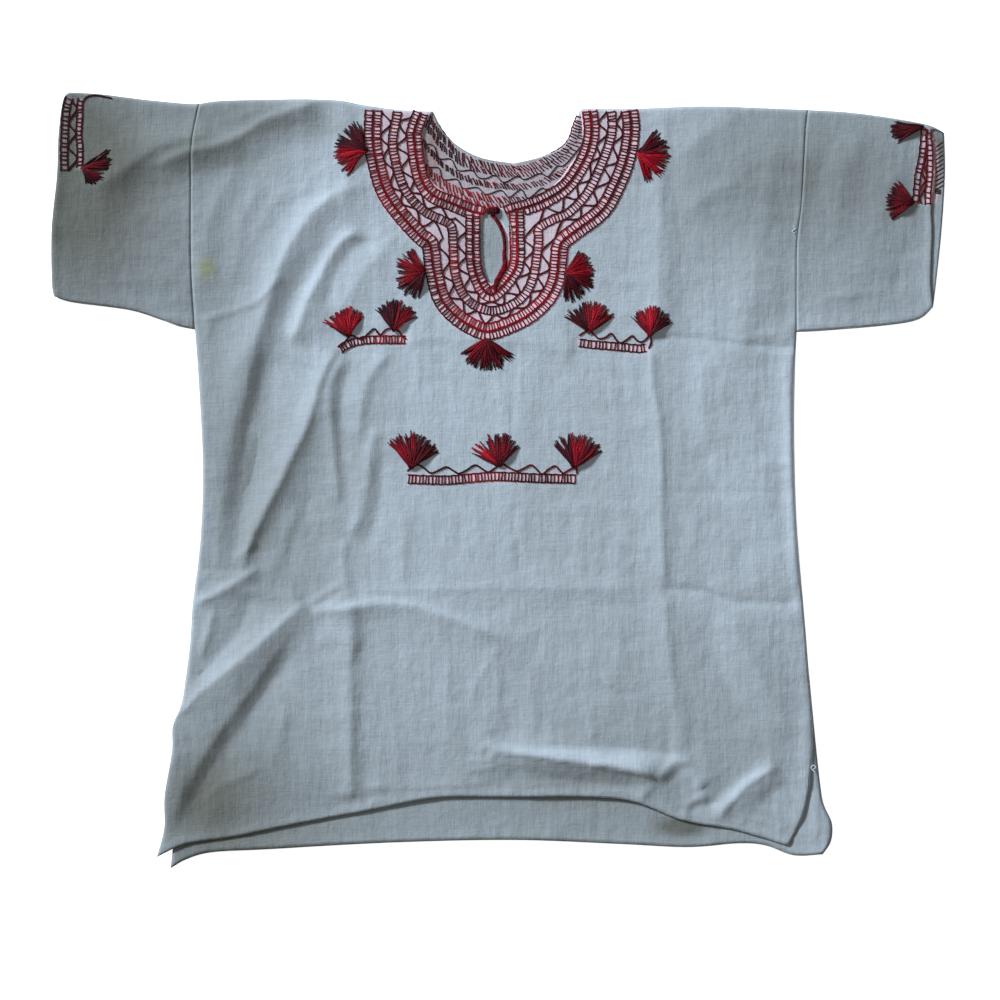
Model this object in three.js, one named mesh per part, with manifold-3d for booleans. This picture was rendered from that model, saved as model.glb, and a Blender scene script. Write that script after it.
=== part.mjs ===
// Embroidered cotton blouse with short sleeves, laid flat with its front up.
//
// Millimetres. +X runs across the blouse, +Y from the hem to the neck, +Z up off the surface it
// lies on. Left and right are as seen from above. The origin is on the surface, below the middle
// of the outline. The back lies flat on the surface, the front lies on the back, and each sleeve
// is one flattened tube between them. Thread tufts lie on the front and on the sleeves.

import * as THREE from "three";
import { mergeVertices } from "three/addons/utils/BufferGeometryUtils.js";
import Module from "manifold-3d";

const wasm = await Module();
wasm.setup();

// ---------------------------------------------------------------- driving dimensions

const CLOTH = 1.2; // wall of every cloth piece
const SEAM_GAP = 0.3; // between two pieces at a seam, and between layers that touch
const SEAT = CLOTH + SEAM_GAP; // underside of the upper layer where it lies on the lower one
const LOFT = 4.5; // how far open cloth of the upper layer stands off its seat
const LOFT_REACH = 55; // distance from an edge over which that loft builds up

const SIDE_ROWS = 28; // cells of the body from the hem to the pit
const ARMHOLE_ROWS = 12; // cells from the pit to the shoulder, the same on body and sleeve
const BODY_COLUMNS = 34; // cells across the body
const SLEEVE_COLUMNS = 8; // cells along a sleeve

// Armhole seams, from the pit to the shoulder.
const LEFT_ARMHOLE = [
  { x: -288.4, y: 143.6 },
  { x: -291.4, y: 200.0 },
  { x: -291.9, y: 260.0 },
  { x: -290.6, y: 320.0 },
  { x: -284.3, y: 358.2 },
];
const RIGHT_ARMHOLE = [
  { x: 283.8, y: 141.2 },
  { x: 283.4, y: 219.0 },
  { x: 288.1, y: 264.6 },
  { x: 291.6, y: 322.0 },
  { x: 294.3, y: 352.4 },
];

// Side edges of the front, from the hem corner to the pit.
const FRONT_LEFT_SIDE = [
  { x: -324.6, y: -358.0 },
  { x: -317.6, y: -330.0 },
  { x: -317.2, y: -300.0 },
  { x: -310.2, y: -258.0 },
  { x: -309.4, y: -233.0 },
  { x: -300.2, y: -208.5 },
  { x: -293.2, y: -155.0 },
  { x: -290.6, y: -117.3 },
  { x: -282.9, y: -55.0 },
  { x: -280.7, y: 15.0 },
  { x: -284.8, y: 95.0 },
  { x: -288.4, y: 143.6 },
];
const FRONT_RIGHT_SIDE = [
  { x: 276.2, y: -347.2 },
  { x: 289.5, y: -320.6 },
  { x: 296.6, y: -285.0 },
  { x: 299.2, y: -240.0 },
  { x: 293.6, y: -161.0 },
  { x: 289.6, y: -112.6 },
  { x: 283.6, y: -40.0 },
  { x: 281.3, y: 40.0 },
  { x: 282.1, y: 105.0 },
  { x: 283.8, y: 141.2 },
];

// Side edges of the back. They follow the front's down to the side slits, and part from it there.
const BACK_LEFT_SIDE = [
  { x: -311.8, y: -369.1 },
  { x: -309.0, y: -340.0 },
  { x: -309.0, y: -291.0 },
  { x: -305.0, y: -252.0 },
  { x: -300.2, y: -208.5 },
  { x: -293.2, y: -155.0 },
  { x: -290.6, y: -117.3 },
  { x: -282.9, y: -55.0 },
  { x: -280.7, y: 15.0 },
  { x: -284.8, y: 95.0 },
  { x: -288.4, y: 143.6 },
];
const BACK_RIGHT_SIDE = [
  { x: 308.5, y: -355.4 },
  { x: 316.4, y: -343.4 },
  { x: 317.4, y: -326.0 },
  { x: 309.6, y: -308.0 },
  { x: 306.4, y: -290.0 },
  { x: 301.5, y: -245.0 },
  { x: 293.6, y: -161.0 },
  { x: 289.6, y: -112.6 },
  { x: 283.6, y: -40.0 },
  { x: 281.3, y: 40.0 },
  { x: 282.1, y: 105.0 },
  { x: 283.8, y: 141.2 },
];

// Hems, from left to right. The front's is drawn up in the middle, so the back's shows below it.
const FRONT_HEM = [
  { x: -324.6, y: -358.0 },
  { x: -297.0, y: -345.5 },
  { x: -253.0, y: -339.0 },
  { x: -200.0, y: -328.0 },
  { x: -121.8, y: -313.5 },
  { x: -57.2, y: -301.6 },
  { x: 12.1, y: -301.0 },
  { x: 78.6, y: -300.7 },
  { x: 128.0, y: -305.0 },
  { x: 175.5, y: -323.0 },
  { x: 225.0, y: -332.0 },
  { x: 276.2, y: -347.2 },
];
const BACK_HEM = [
  { x: -311.8, y: -369.1 },
  { x: -297.0, y: -360.4 },
  { x: -272.0, y: -353.4 },
  { x: -220.0, y: -350.6 },
  { x: -100.0, y: -344.2 },
  { x: 15.0, y: -341.8 },
  { x: 115.0, y: -345.6 },
  { x: 180.0, y: -348.6 },
  { x: 228.0, y: -345.0 },
  { x: 254.0, y: -347.0 },
  { x: 281.0, y: -356.4 },
  { x: 308.5, y: -355.4 },
];

// Shoulder fold, from left to right, straight on across the neck.
const SHOULDER = [
  { x: -284.3, y: 358.2 },
  { x: -255.0, y: 361.4 },
  { x: -163.0, y: 362.2 },
  { x: -127.5, y: 357.0 },
  { x: -93.0, y: 352.4 },
  { x: -62.0, y: 351.0 },
  { x: 76.0, y: 353.6 },
  { x: 130.0, y: 353.6 },
  { x: 200.0, y: 355.8 },
  { x: 294.3, y: 352.4 },
];

// Neck of the front: down its left side, round the keyhole slit, and up its right side.
const NECK_LEFT = [
  { x: -60.0, y: 352.0 },
  { x: -71.5, y: 334.0 },
  { x: -70.6, y: 302.0 },
  { x: -61.0, y: 282.6 },
  { x: -42.0, y: 270.0 },
  { x: -12.0, y: 259.8 },
];
const KEYHOLE = [
  { x: -11.5, y: 256.0 },
  { x: -16.6, y: 244.0 },
  { x: -17.3, y: 218.0 },
  { x: -13.0, y: 194.0 },
  { x: -6.0, y: 186.5 },
  { x: 1.6, y: 195.5 },
  { x: 5.6, y: 220.0 },
  { x: 4.2, y: 240.0 },
  { x: -2.4, y: 255.0 },
];
const NECK_RIGHT = [
  { x: -1.0, y: 258.0 },
  { x: 28.7, y: 266.5 },
  { x: 52.0, y: 280.0 },
  { x: 67.0, y: 298.3 },
  { x: 79.6, y: 320.0 },
  { x: 80.5, y: 352.0 },
];

// Neck of the back, from left to right.
const BACK_NECK = [
  { x: -60.5, y: 351.0 },
  { x: -48.5, y: 326.8 },
  { x: -20.0, y: 308.4 },
  { x: 15.0, y: 301.6 },
  { x: 45.0, y: 309.4 },
  { x: 65.0, y: 321.5 },
  { x: 75.5, y: 352.5 },
];

// Sleeves: the fold along the top, the seam along the underside, and the cuff edge.
const LEFT_SLEEVE_TOP = [
  { x: -407.0, y: 369.1 },
  { x: -378.0, y: 367.4 },
  { x: -340.0, y: 362.6 },
  { x: -300.0, y: 358.6 },
  { x: -284.3, y: 358.2 },
];
const LEFT_SLEEVE_SEAM = [
  { x: -422.4, y: 175.2 },
  { x: -405.0, y: 169.4 },
  { x: -350.8, y: 162.0 },
  { x: -318.5, y: 152.0 },
  { x: -303.0, y: 146.4 },
  { x: -288.4, y: 143.6 },
];
const LEFT_CUFF = [
  { x: -422.4, y: 175.2 },
  { x: -424.3, y: 190.0 },
  { x: -424.4, y: 240.0 },
  { x: -419.4, y: 290.0 },
  { x: -417.8, y: 330.0 },
  { x: -413.5, y: 362.0 },
  { x: -407.0, y: 369.1 },
];
const RIGHT_SLEEVE_TOP = [
  { x: 294.3, y: 352.4 },
  { x: 333.2, y: 350.1 },
  { x: 377.9, y: 344.2 },
  { x: 410.0, y: 337.8 },
  { x: 424.0, y: 330.6 },
];
const RIGHT_SLEEVE_SEAM = [
  { x: 283.8, y: 141.2 },
  { x: 310.0, y: 142.4 },
  { x: 370.3, y: 147.6 },
  { x: 399.7, y: 153.2 },
  { x: 413.6, y: 165.0 },
];
const RIGHT_CUFF = [
  { x: 413.6, y: 165.0 },
  { x: 411.2, y: 189.5 },
  { x: 412.6, y: 235.1 },
  { x: 412.0, y: 260.0 },
  { x: 414.6, y: 304.5 },
  { x: 424.0, y: 330.6 },
];
// The under layer of the right cuff lies further out than the upper one.
const RIGHT_CUFF_UNDER = [
  { x: 413.6, y: 165.0 },
  { x: 416.6, y: 190.0 },
  { x: 421.6, y: 238.0 },
  { x: 424.8, y: 290.0 },
  { x: 424.0, y: 330.6 },
];

// Largest folds of the upper layer: rise over the seat, half width, and the line they follow.
const FOLDS = [
  { fold: "left sleeve ridge", rise: 4, width: 20, line: [[-392, 300], [-270, 338], [-190, 350]] },
  { fold: "left sleeve dip", rise: -3.5, width: 18, line: [[-366, 258], [-240, 305], [-130, 336]] },
  { fold: "left chest ridge", rise: 6, width: 20, line: [[-150, 284], [-184, 240], [-231, 144], [-250, 30]] },
  { fold: "left chest dip", rise: -4.5, width: 17, line: [[-117, 258], [-196, 168], [-228, 70], [-252, -80]] },
  { fold: "left waist ridge", rise: 5.5, width: 15, line: [[-166, 108], [-178, 58], [-213, -14], [-262, -88]] },
  { fold: "left hip ridge", rise: 5, width: 16, line: [[-185, -118], [-240, -168], [-298, -215]] },
  { fold: "left hip dip", rise: -4.5, width: 16, line: [[-190, -140], [-225, -200], [-268, -268], [-305, -342]] },
  { fold: "front hem ridge", rise: 6.5, width: 15, line: [[-8, -252], [70, -268], [142, -281], [170, -300]] },
  { fold: "left hem ridge", rise: 4, width: 14, line: [[-138, -292], [-80, -291], [-5, -290]] },
  { fold: "right hem ridge", rise: 5, width: 14, line: [[204, -328], [236, -300], [272, -268]] },
  { fold: "centre ridge", rise: 2.5, width: 18, line: [[17, 125], [17, 20], [21, -95]] },
  { fold: "right side ridge", rise: 2.5, width: 18, line: [[157, 330], [152, 90], [156, -100], [172, -250]] },
];

// Tufts: middle of the root, direction and half spread of the fan in degrees, and thread length.
const TUFTS = [
  { name: "tuft_neck_left_top", on: "body_front", x: -125.6, y: 313.0, aim: 168, spread: 64, reach: 30 },
  { name: "tuft_neck_right_top", on: "body_front", x: 132.8, y: 310.2, aim: -10, spread: 66, reach: 29 },
  { name: "tuft_neck_left_mid", on: "body_front", x: -71.0, y: 198.1, aim: 188, spread: 74, reach: 27 },
  { name: "tuft_neck_right_mid", on: "body_front", x: 64.4, y: 196.2, aim: -17, spread: 78, reach: 27 },
  { name: "tuft_neck_bottom", on: "body_front", x: -10.7, y: 133.5, aim: 271, spread: 64, reach: 29 },
  { name: "tuft_chest_left_outer", on: "body_front", x: -141.8, y: 138.2, aim: 106, spread: 54, reach: 25 },
  { name: "tuft_chest_left_inner", on: "body_front", x: -99.0, y: 143.0, aim: 83, spread: 49, reach: 27 },
  { name: "tuft_chest_right_inner", on: "body_front", x: 86.2, y: 142.0, aim: 88, spread: 59, reach: 28 },
  { name: "tuft_chest_right_outer", on: "body_front", x: 144.2, y: 138.2, aim: 84, spread: 52, reach: 26 },
  { name: "tuft_belly_left", on: "body_front", x: -82.4, y: 12.8, aim: 84, spread: 52, reach: 32 },
  { name: "tuft_belly_middle", on: "body_front", x: 0.7, y: 14.7, aim: 100, spread: 56, reach: 29 },
  { name: "tuft_belly_right", on: "body_front", x: 72.0, y: 12.8, aim: 80, spread: 52, reach: 31 },
  { name: "tuft_cuff_left", on: "sleeve_left", x: -394.5, y: 296.9, aim: -15, spread: 50, reach: 27 },
  { name: "tuft_cuff_right_top", on: "sleeve_right", x: 401.0, y: 335.4, aim: 192, spread: 18, reach: 30 },
  { name: "tuft_cuff_right_bottom", on: "sleeve_right", x: 391.7, y: 263.1, aim: 168, spread: 50, reach: 24 },
];
const TUFT_ROOT = 2.5; // radius at which a fan starts, where its threads are drawn together
const TUFT_THICK = 2.0;
const TUFT_RINGS = 3; // cells from the root to the tips
const TUFT_SECTORS = 6; // cells across the spread

// Knot of thread that holds the top of the keyhole slit closed.
const TIE = { x: -6.9, y: 257.2, length: 15, width: 8, thick: 2.2, sides: 10 };

// ---------------------------------------------------------------- materials

const cotton = (colour) => new THREE.MeshStandardMaterial({ color: colour, roughness: 0.95, metalness: 0 });
const thread = () => new THREE.MeshStandardMaterial({ color: 0x8c1420, roughness: 0.75, metalness: 0 });
const FRONT_COTTON = 0xb9c0c8;
const BACK_COTTON = 0xa9b0b8;

// ---------------------------------------------------------------- curves and panels

// A smooth curve through a table of points, read by its share of the length.
function curve(rows) {
  return new THREE.SplineCurve(rows.map(({ x, y }) => new THREE.Vector2(x, y)));
}

// A point moved sideways, for the piece on the other side of a seam.
const moved = (dx) => ({ x, y }) => ({ x: x + dx, y });

// Two curves end to end, the first taking the given share of the way.
function joined(first, second, share) {
  const getPointAt = (t) => {
    const inFirst = t < share;
    return inFirst ? first.getPointAt(t / share) : second.getPointAt((t - share) / (1 - share));
  };
  return { getPointAt };
}

// The point of a panel at shares u, across, and v, up, blended from its four edges.
function panelPoint({ left, right, bottom, top }, u, v) {
  const across = left.getPointAt(v).lerp(right.getPointAt(v), u);
  const up = bottom.getPointAt(u).lerp(top.getPointAt(u), v);
  const low = left.getPointAt(0).lerp(right.getPointAt(0), u);
  const high = left.getPointAt(1).lerp(right.getPointAt(1), u);
  return across.add(up).sub(low.lerp(high, v));
}

const SIDE_SHARE = SIDE_ROWS / (SIDE_ROWS + ARMHOLE_ROWS);
const FRONT_PANEL = {
  left: joined(curve(FRONT_LEFT_SIDE), curve(LEFT_ARMHOLE), SIDE_SHARE),
  right: joined(curve(FRONT_RIGHT_SIDE), curve(RIGHT_ARMHOLE), SIDE_SHARE),
  bottom: curve(FRONT_HEM),
  top: curve(SHOULDER),
};

// ---------------------------------------------------------------- height of the upper layer

const smooth = (t) => THREE.MathUtils.smoothstep(t, 0, 1);

// Edges that hold the upper layer down: 1 lays it on its seat, less lets it stand off a little.
const EDGE_STEP = 5;
const HOLDS = [
  { hold: 1, rows: [FRONT_LEFT_SIDE, FRONT_RIGHT_SIDE, SHOULDER] },
  { hold: 1, rows: [LEFT_SLEEVE_TOP, LEFT_SLEEVE_SEAM, LEFT_CUFF] },
  { hold: 1, rows: [RIGHT_SLEEVE_TOP, RIGHT_SLEEVE_SEAM, RIGHT_CUFF] },
  { hold: 0.85, rows: [NECK_LEFT, KEYHOLE, NECK_RIGHT] },
  { hold: 0.6, rows: [FRONT_HEM] },
].map(({ hold, rows }) => ({
  hold,
  points: rows.flatMap((row) => curve(row).getSpacedPoints(Math.ceil(curve(row).getLength() / EDGE_STEP))),
}));

// Share of the loft left at a point by the edges near it.
function freedom(x, y) {
  return HOLDS.reduce((share, { hold, points }) => {
    const near = Math.min(...points.map((p) => Math.hypot(p.x - x, p.y - y)));
    return share * (1 - hold * (1 - smooth(near / LOFT_REACH)));
  }, 1);
}

// Height that one fold adds: a rounded bank along its line, fading out towards both ends.
const FOLD_FADE = 0.22; // share of a fold's length over which it fades
function foldHeight({ rise, width, line }, x, y) {
  const stretches = line.slice(1).map(([bx, by], i) => ({ ax: line[i][0], ay: line[i][1], bx, by }));
  const lengths = stretches.map(({ ax, ay, bx, by }) => Math.hypot(bx - ax, by - ay));
  const total = lengths.reduce((sum, length) => sum + length, 0);
  let nearest = Infinity;
  let share = 0;
  let before = 0;
  stretches.forEach(({ ax, ay, bx, by }, i) => {
    const along = ((x - ax) * (bx - ax) + (y - ay) * (by - ay)) / lengths[i] ** 2;
    const t = THREE.MathUtils.clamp(along, 0, 1);
    const distance = Math.hypot(x - ax - t * (bx - ax), y - ay - t * (by - ay));
    if (distance < nearest) {
      nearest = distance;
      share = (before + t * lengths[i]) / total;
    }
    before += lengths[i];
  });
  const ends = smooth(share / FOLD_FADE) * smooth((1 - share) / FOLD_FADE);
  return rise * ends * Math.exp(-((nearest / width) ** 2));
}

// Height of the upper layer's underside at a point.
function underside(x, y) {
  const folds = FOLDS.reduce((sum, fold) => sum + foldHeight(fold, x, y), 0);
  return SEAT + freedom(x, y) * Math.max(0, LOFT + folds);
}

// ---------------------------------------------------------------- solids

// Triangles between two rows of vertex numbers. They face a viewer who sees row a run from left
// to right and row b above it.
function quads(a, b, closed) {
  const last = closed ? a.length : a.length - 1;
  return Array.from({ length: last }, (_, i) => {
    const next = (i + 1) % a.length;
    return [a[i], a[next], b[next], a[i], b[next], b[i]];
  }).flat();
}

function geometryFrom(points, triangles) {
  const positions = new Float32Array(points.flatMap(({ x, y, z }) => [x, y, z]));
  return new THREE.BufferGeometry()
    .setAttribute("position", new THREE.BufferAttribute(positions, 3))
    .setIndex(triangles);
}

// A wall over a grid of underside points, rows running along +X or turning anticlockwise.
function sheetWall(grid, thick) {
  const wide = grid[0].length;
  const lower = grid.flat();
  const upper = lower.map(({ x, y, z }) => ({ x, y, z: z + thick }));
  const low = (row, column) => row * wide + column;
  const high = (row, column) => lower.length + low(row, column);
  const columns = [...Array(wide).keys()];
  const rows = [...Array(grid.length).keys()];
  const lastRow = grid.length - 1;
  const lastColumn = wide - 1;
  const faces = rows.slice(0, -1).flatMap((row) => [
    ...quads(columns.map((c) => high(row, c)), columns.map((c) => high(row + 1, c)), false),
    ...quads(columns.map((c) => low(row + 1, c)), columns.map((c) => low(row, c)), false),
  ]);
  const edges = [
    ...quads(columns.map((c) => low(0, c)), columns.map((c) => high(0, c)), false),
    ...quads(columns.map((c) => high(lastRow, c)), columns.map((c) => low(lastRow, c)), false),
    ...quads(rows.map((r) => high(r, 0)), rows.map((r) => low(r, 0)), false),
    ...quads(rows.map((r) => low(r, lastColumn)), rows.map((r) => high(r, lastColumn)), false),
  ];
  return geometryFrom([...lower, ...upper], [...faces, ...edges]);
}

// A wall between stations of outer and inner rings, open at both ends.
function tubeWall(outer, inner) {
  const round = outer[0].length;
  const points = [...outer.flat(), ...inner.flat()];
  const ringOf = (station, side) =>
    Array.from({ length: round }, (_, i) => (side * outer.length + station) * round + i);
  const last = outer.length - 1;
  const skins = outer.slice(1).flatMap((_, s) => [
    ...quads(ringOf(s, 0), ringOf(s + 1, 0), true),
    ...quads(ringOf(s + 1, 1), ringOf(s, 1), true),
  ]);
  const ends = [
    ...quads(ringOf(0, 1), ringOf(0, 0), true),
    ...quads(ringOf(last, 0), ringOf(last, 1), true),
  ];
  return geometryFrom(points, [...skins, ...ends]);
}

function manifoldOf(geometry) {
  const bare = geometry.clone();
  bare.deleteAttribute("normal");
  bare.deleteAttribute("uv");
  const merged = mergeVertices(bare);
  return new wasm.Manifold(
    new wasm.Mesh({
      numProp: 3,
      vertProperties: new Float32Array(merged.attributes.position.array),
      triVerts: new Uint32Array(merged.index.array),
    }),
  );
}

function geometryOf(manifold) {
  const { numProp, vertProperties, triVerts } = manifold.getMesh();
  const positions = new THREE.InterleavedBufferAttribute(
    new THREE.InterleavedBuffer(vertProperties, numProp), 3, 0,
  );
  return new THREE.BufferGeometry()
    .setAttribute("position", positions)
    .setIndex(new THREE.BufferAttribute(triVerts, 1));
}

function mesh(name, geometry, material) {
  const made = new THREE.Mesh(geometry, material);
  made.name = name;
  return made;
}

// ---------------------------------------------------------------- body

const ABOVE_SHOULDER = 30; // how far the neck's cutter reaches past the shoulder fold
const CUTTER_HEIGHT = 60;
const CURVE_STEPS = 4; // facets of a curve between two of its points

const vectors = (rows) => rows.map(({ x, y }) => new THREE.Vector2(x, y));

// Cutter for the neck scoop and keyhole slit of the front.
function neckCutter() {
  const [first] = NECK_LEFT;
  const last = NECK_RIGHT.at(-1);
  const outline = new THREE.Shape();
  outline.moveTo(first.x, first.y);
  outline.splineThru(vectors(NECK_LEFT.slice(1)));
  outline.lineTo(KEYHOLE[0].x, KEYHOLE[0].y);
  outline.splineThru(vectors(KEYHOLE.slice(1)));
  outline.lineTo(NECK_RIGHT[0].x, NECK_RIGHT[0].y);
  outline.splineThru(vectors(NECK_RIGHT.slice(1)));
  outline.lineTo(last.x, last.y + ABOVE_SHOULDER);
  outline.lineTo(first.x, first.y + ABOVE_SHOULDER);
  const cutter = new THREE.ExtrudeGeometry(outline, {
    depth: CUTTER_HEIGHT,
    bevelEnabled: false,
    curveSegments: CURVE_STEPS,
  });
  return manifoldOf(cutter.translate(0, 0, -CUTTER_HEIGHT / 2));
}

function bodyFront() {
  const up = SIDE_ROWS + ARMHOLE_ROWS;
  const grid = Array.from({ length: up + 1 }, (_, row) =>
    Array.from({ length: BODY_COLUMNS + 1 }, (_, column) => {
      const { x, y } = panelPoint(FRONT_PANEL, column / BODY_COLUMNS, row / up);
      return { x, y, z: underside(x, y) };
    }),
  );
  const cut = manifoldOf(sheetWall(grid, CLOTH)).subtract(neckCutter());
  return mesh("body_front", geometryOf(cut), cotton(FRONT_COTTON));
}

const BACK_SIDE_STEPS = 14;
const BACK_HEM_STEPS = 20;
const BACK_NECK_STEPS = 16;

function bodyBack() {
  const shoulder = curve(SHOULDER).getSpacedPoints(BACK_HEM_STEPS).slice(1, -1).reverse();
  const outline = new THREE.Shape([
    ...curve(BACK_HEM).getSpacedPoints(BACK_HEM_STEPS),
    ...curve(BACK_RIGHT_SIDE).getSpacedPoints(BACK_SIDE_STEPS).slice(1),
    ...curve(RIGHT_ARMHOLE).getSpacedPoints(ARMHOLE_ROWS).slice(1),
    ...shoulder.filter(({ x }) => x > BACK_NECK.at(-1).x),
    ...curve(BACK_NECK).getSpacedPoints(BACK_NECK_STEPS).reverse(),
    ...shoulder.filter(({ x }) => x < BACK_NECK[0].x),
    ...curve(LEFT_ARMHOLE).getSpacedPoints(ARMHOLE_ROWS).reverse(),
    ...curve(BACK_LEFT_SIDE).getSpacedPoints(BACK_SIDE_STEPS).reverse().slice(1, -1),
  ]);
  const flat = new THREE.ExtrudeGeometry(outline, { depth: CLOTH, bevelEnabled: false });
  return mesh("body_back", geometryOf(manifoldOf(flat)), cotton(BACK_COTTON));
}

// ---------------------------------------------------------------- sleeves

// One flattened tube, from a panel for its upper layer and one for its under layer.
function sleeve(name, upper, under) {
  const height = upper.left.getPointAt(0).distanceTo(upper.left.getPointAt(1));
  const inset = CLOTH / height;
  const steps = Array.from({ length: ARMHOLE_ROWS + 1 }, (_, i) => i / ARMHOLE_ROWS);
  const ring = (u, wall) => {
    const trimmed = steps.map((t) => (wall ? inset + t * (1 - 2 * inset) : t));
    const below = trimmed.map((v) => ({ ...panelPoint(under, u, v), z: wall }));
    const above = trimmed.map((v) => {
      const { x, y } = panelPoint(upper, u, v);
      return { x, y, z: underside(x, y) + CLOTH - wall };
    });
    return [...below, ...above.reverse()];
  };
  const stations = Array.from({ length: SLEEVE_COLUMNS + 1 }, (_, i) => i / SLEEVE_COLUMNS);
  const outer = stations.map((u) => ring(u, 0));
  const inner = stations.map((u) => ring(u, CLOTH));
  return mesh(name, tubeWall(outer, inner), cotton(FRONT_COTTON));
}

function sleeveLeft() {
  const panel = {
    left: curve(LEFT_CUFF),
    right: curve(LEFT_ARMHOLE.map(moved(-SEAM_GAP))),
    bottom: curve([...LEFT_SLEEVE_SEAM.slice(0, -1), moved(-SEAM_GAP)(LEFT_SLEEVE_SEAM.at(-1))]),
    top: curve([...LEFT_SLEEVE_TOP.slice(0, -1), moved(-SEAM_GAP)(LEFT_SLEEVE_TOP.at(-1))]),
  };
  return sleeve("sleeve_left", panel, panel);
}

function sleeveRight() {
  const upper = {
    left: curve(RIGHT_ARMHOLE.map(moved(SEAM_GAP))),
    right: curve(RIGHT_CUFF),
    bottom: curve([moved(SEAM_GAP)(RIGHT_SLEEVE_SEAM[0]), ...RIGHT_SLEEVE_SEAM.slice(1)]),
    top: curve([moved(SEAM_GAP)(RIGHT_SLEEVE_TOP[0]), ...RIGHT_SLEEVE_TOP.slice(1)]),
  };
  return sleeve("sleeve_right", upper, { ...upper, right: curve(RIGHT_CUFF_UNDER) });
}

// ---------------------------------------------------------------- tufts and tie

const DOWN = new THREE.Vector3(0, 0, -1);
const EYE_HEIGHT = 100;
const FEEL = 4; // distance around a point that is felt for the highest cloth

// Highest top of a cloth mesh at a point and close round it.
function topOf(cloth, x, y) {
  const offsets = [[0, 0], [FEEL, 0], [-FEEL, 0], [0, FEEL], [0, -FEEL]];
  const hits = offsets.flatMap(([dx, dy]) => {
    const from = new THREE.Vector3(x + dx, y + dy, EYE_HEIGHT);
    return new THREE.Raycaster(from, DOWN).intersectObject(cloth).slice(0, 1);
  });
  return Math.max(...hits.map(({ point }) => point.z));
}

// A fan of threads as one thin solid that lies on the cloth.
function tuft({ name, x, y, aim, spread, reach }, cloth) {
  const grid = Array.from({ length: TUFT_RINGS + 1 }, (_, ring) =>
    Array.from({ length: TUFT_SECTORS + 1 }, (_, sector) => {
      const radius = TUFT_ROOT + (reach - TUFT_ROOT) * (ring / TUFT_RINGS);
      const turn = aim + spread * (1 - (2 * sector) / TUFT_SECTORS);
      const angle = THREE.MathUtils.degToRad(turn);
      const px = x + radius * Math.cos(angle);
      const py = y + radius * Math.sin(angle);
      return { x: px, y: py, z: topOf(cloth, px, py) + SEAM_GAP };
    }),
  );
  return mesh(name, sheetWall(grid, TUFT_THICK), thread());
}

// The knot: a small oval pad across the top of the keyhole slit, on the cloth either side of it.
function keyholeTie(cloth) {
  const { x, y, length, width, thick, sides } = TIE;
  const half = length / 2;
  const pad = new THREE.CylinderGeometry(half, half, thick, sides, 1).rotateX(Math.PI / 2);
  const seat = Math.max(topOf(cloth, x - half, y), topOf(cloth, x + half, y));
  pad.scale(1, width / length, 1).translate(x, y, seat + SEAM_GAP + thick / 2);
  return mesh("keyhole_tie", geometryOf(manifoldOf(pad)), thread());
}

// ---------------------------------------------------------------- assembly

const blouse = new THREE.Group();
const front = bodyFront();
const cloths = [front, bodyBack(), sleeveLeft(), sleeveRight()];
blouse.add(...cloths);
blouse.updateMatrixWorld(true);

const trim = new THREE.Group();
trim.add(keyholeTie(front));
TUFTS.forEach((row) => trim.add(tuft(row, cloths.find(({ name }) => name === row.on))));
blouse.add(trim);

export default blouse;
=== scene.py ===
"""Looks of the embroidered blouse: cotton cloth, thread work and a plain stage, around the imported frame.

Tables and sizes are in millimetres, in the frame's own axes. Meshes are written in metres.
"""

import logging
import math
from collections.abc import Iterator
from dataclasses import dataclass, field
from enum import Enum
from functools import cached_property

import bpy
import numpy as np
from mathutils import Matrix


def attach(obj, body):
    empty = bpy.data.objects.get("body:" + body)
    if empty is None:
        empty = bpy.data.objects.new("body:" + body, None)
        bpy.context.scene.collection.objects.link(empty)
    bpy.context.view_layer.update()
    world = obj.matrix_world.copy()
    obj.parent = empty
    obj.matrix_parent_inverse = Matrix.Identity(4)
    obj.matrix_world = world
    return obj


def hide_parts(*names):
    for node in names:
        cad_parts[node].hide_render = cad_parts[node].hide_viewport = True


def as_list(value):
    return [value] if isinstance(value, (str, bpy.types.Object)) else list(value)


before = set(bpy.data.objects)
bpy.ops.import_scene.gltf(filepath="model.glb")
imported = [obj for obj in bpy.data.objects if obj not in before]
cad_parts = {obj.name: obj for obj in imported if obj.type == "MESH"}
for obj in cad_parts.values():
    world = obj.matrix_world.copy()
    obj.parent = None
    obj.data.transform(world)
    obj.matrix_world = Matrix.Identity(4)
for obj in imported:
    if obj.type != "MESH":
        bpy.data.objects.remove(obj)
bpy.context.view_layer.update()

Array = np.ndarray
Point = tuple[float, float]
Keys = tuple[tuple[float, float], ...]
Colour = tuple[float, float, float, float]
Piece = bpy.types.Object
Socket = bpy.types.NodeSocket
log = logging.getLogger("blouse")

MM = 0.001
SEED = 4651

CLOTH = 1.2  # the frame's cloth, with the room for its seams
WEAVE = 0.8  # the shown cloth's thickness
SEAT = 1.5  # underside of the front where it lies on the back
LOFT = 2.6  # how far the front stands off the back between its held edges
LOFT_REACH = 55.0
FOLD_FADE = 0.22
FOLD_SHARE = 0.45
HEM_WIDTH = 5.0
HEM_STEP = 2.2  # how softly the hem's second layer ends
HEM_RISE = 0.55
PUCKER_RISE = 0.32
PUCKER_PITCH = 14.4
PUCKER_REACH = 4.0  # how far a pucker spreads from the hem's stitches
TURN_REACH = 3.2  # how far in from an edge the cloth starts to turn down
TUBE_ROUND = 3.0  # how far in from a sleeve's edges its two layers part
YOKE_UNDERSIDE = 0.34  # height of the thread under the back
DYE_EDGE = 1.2  # half of the soft edge of a dyed strip


class Slot(Enum):
    """The material slots."""

    COTTON = "cotton"
    THREAD = "thread"


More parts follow.
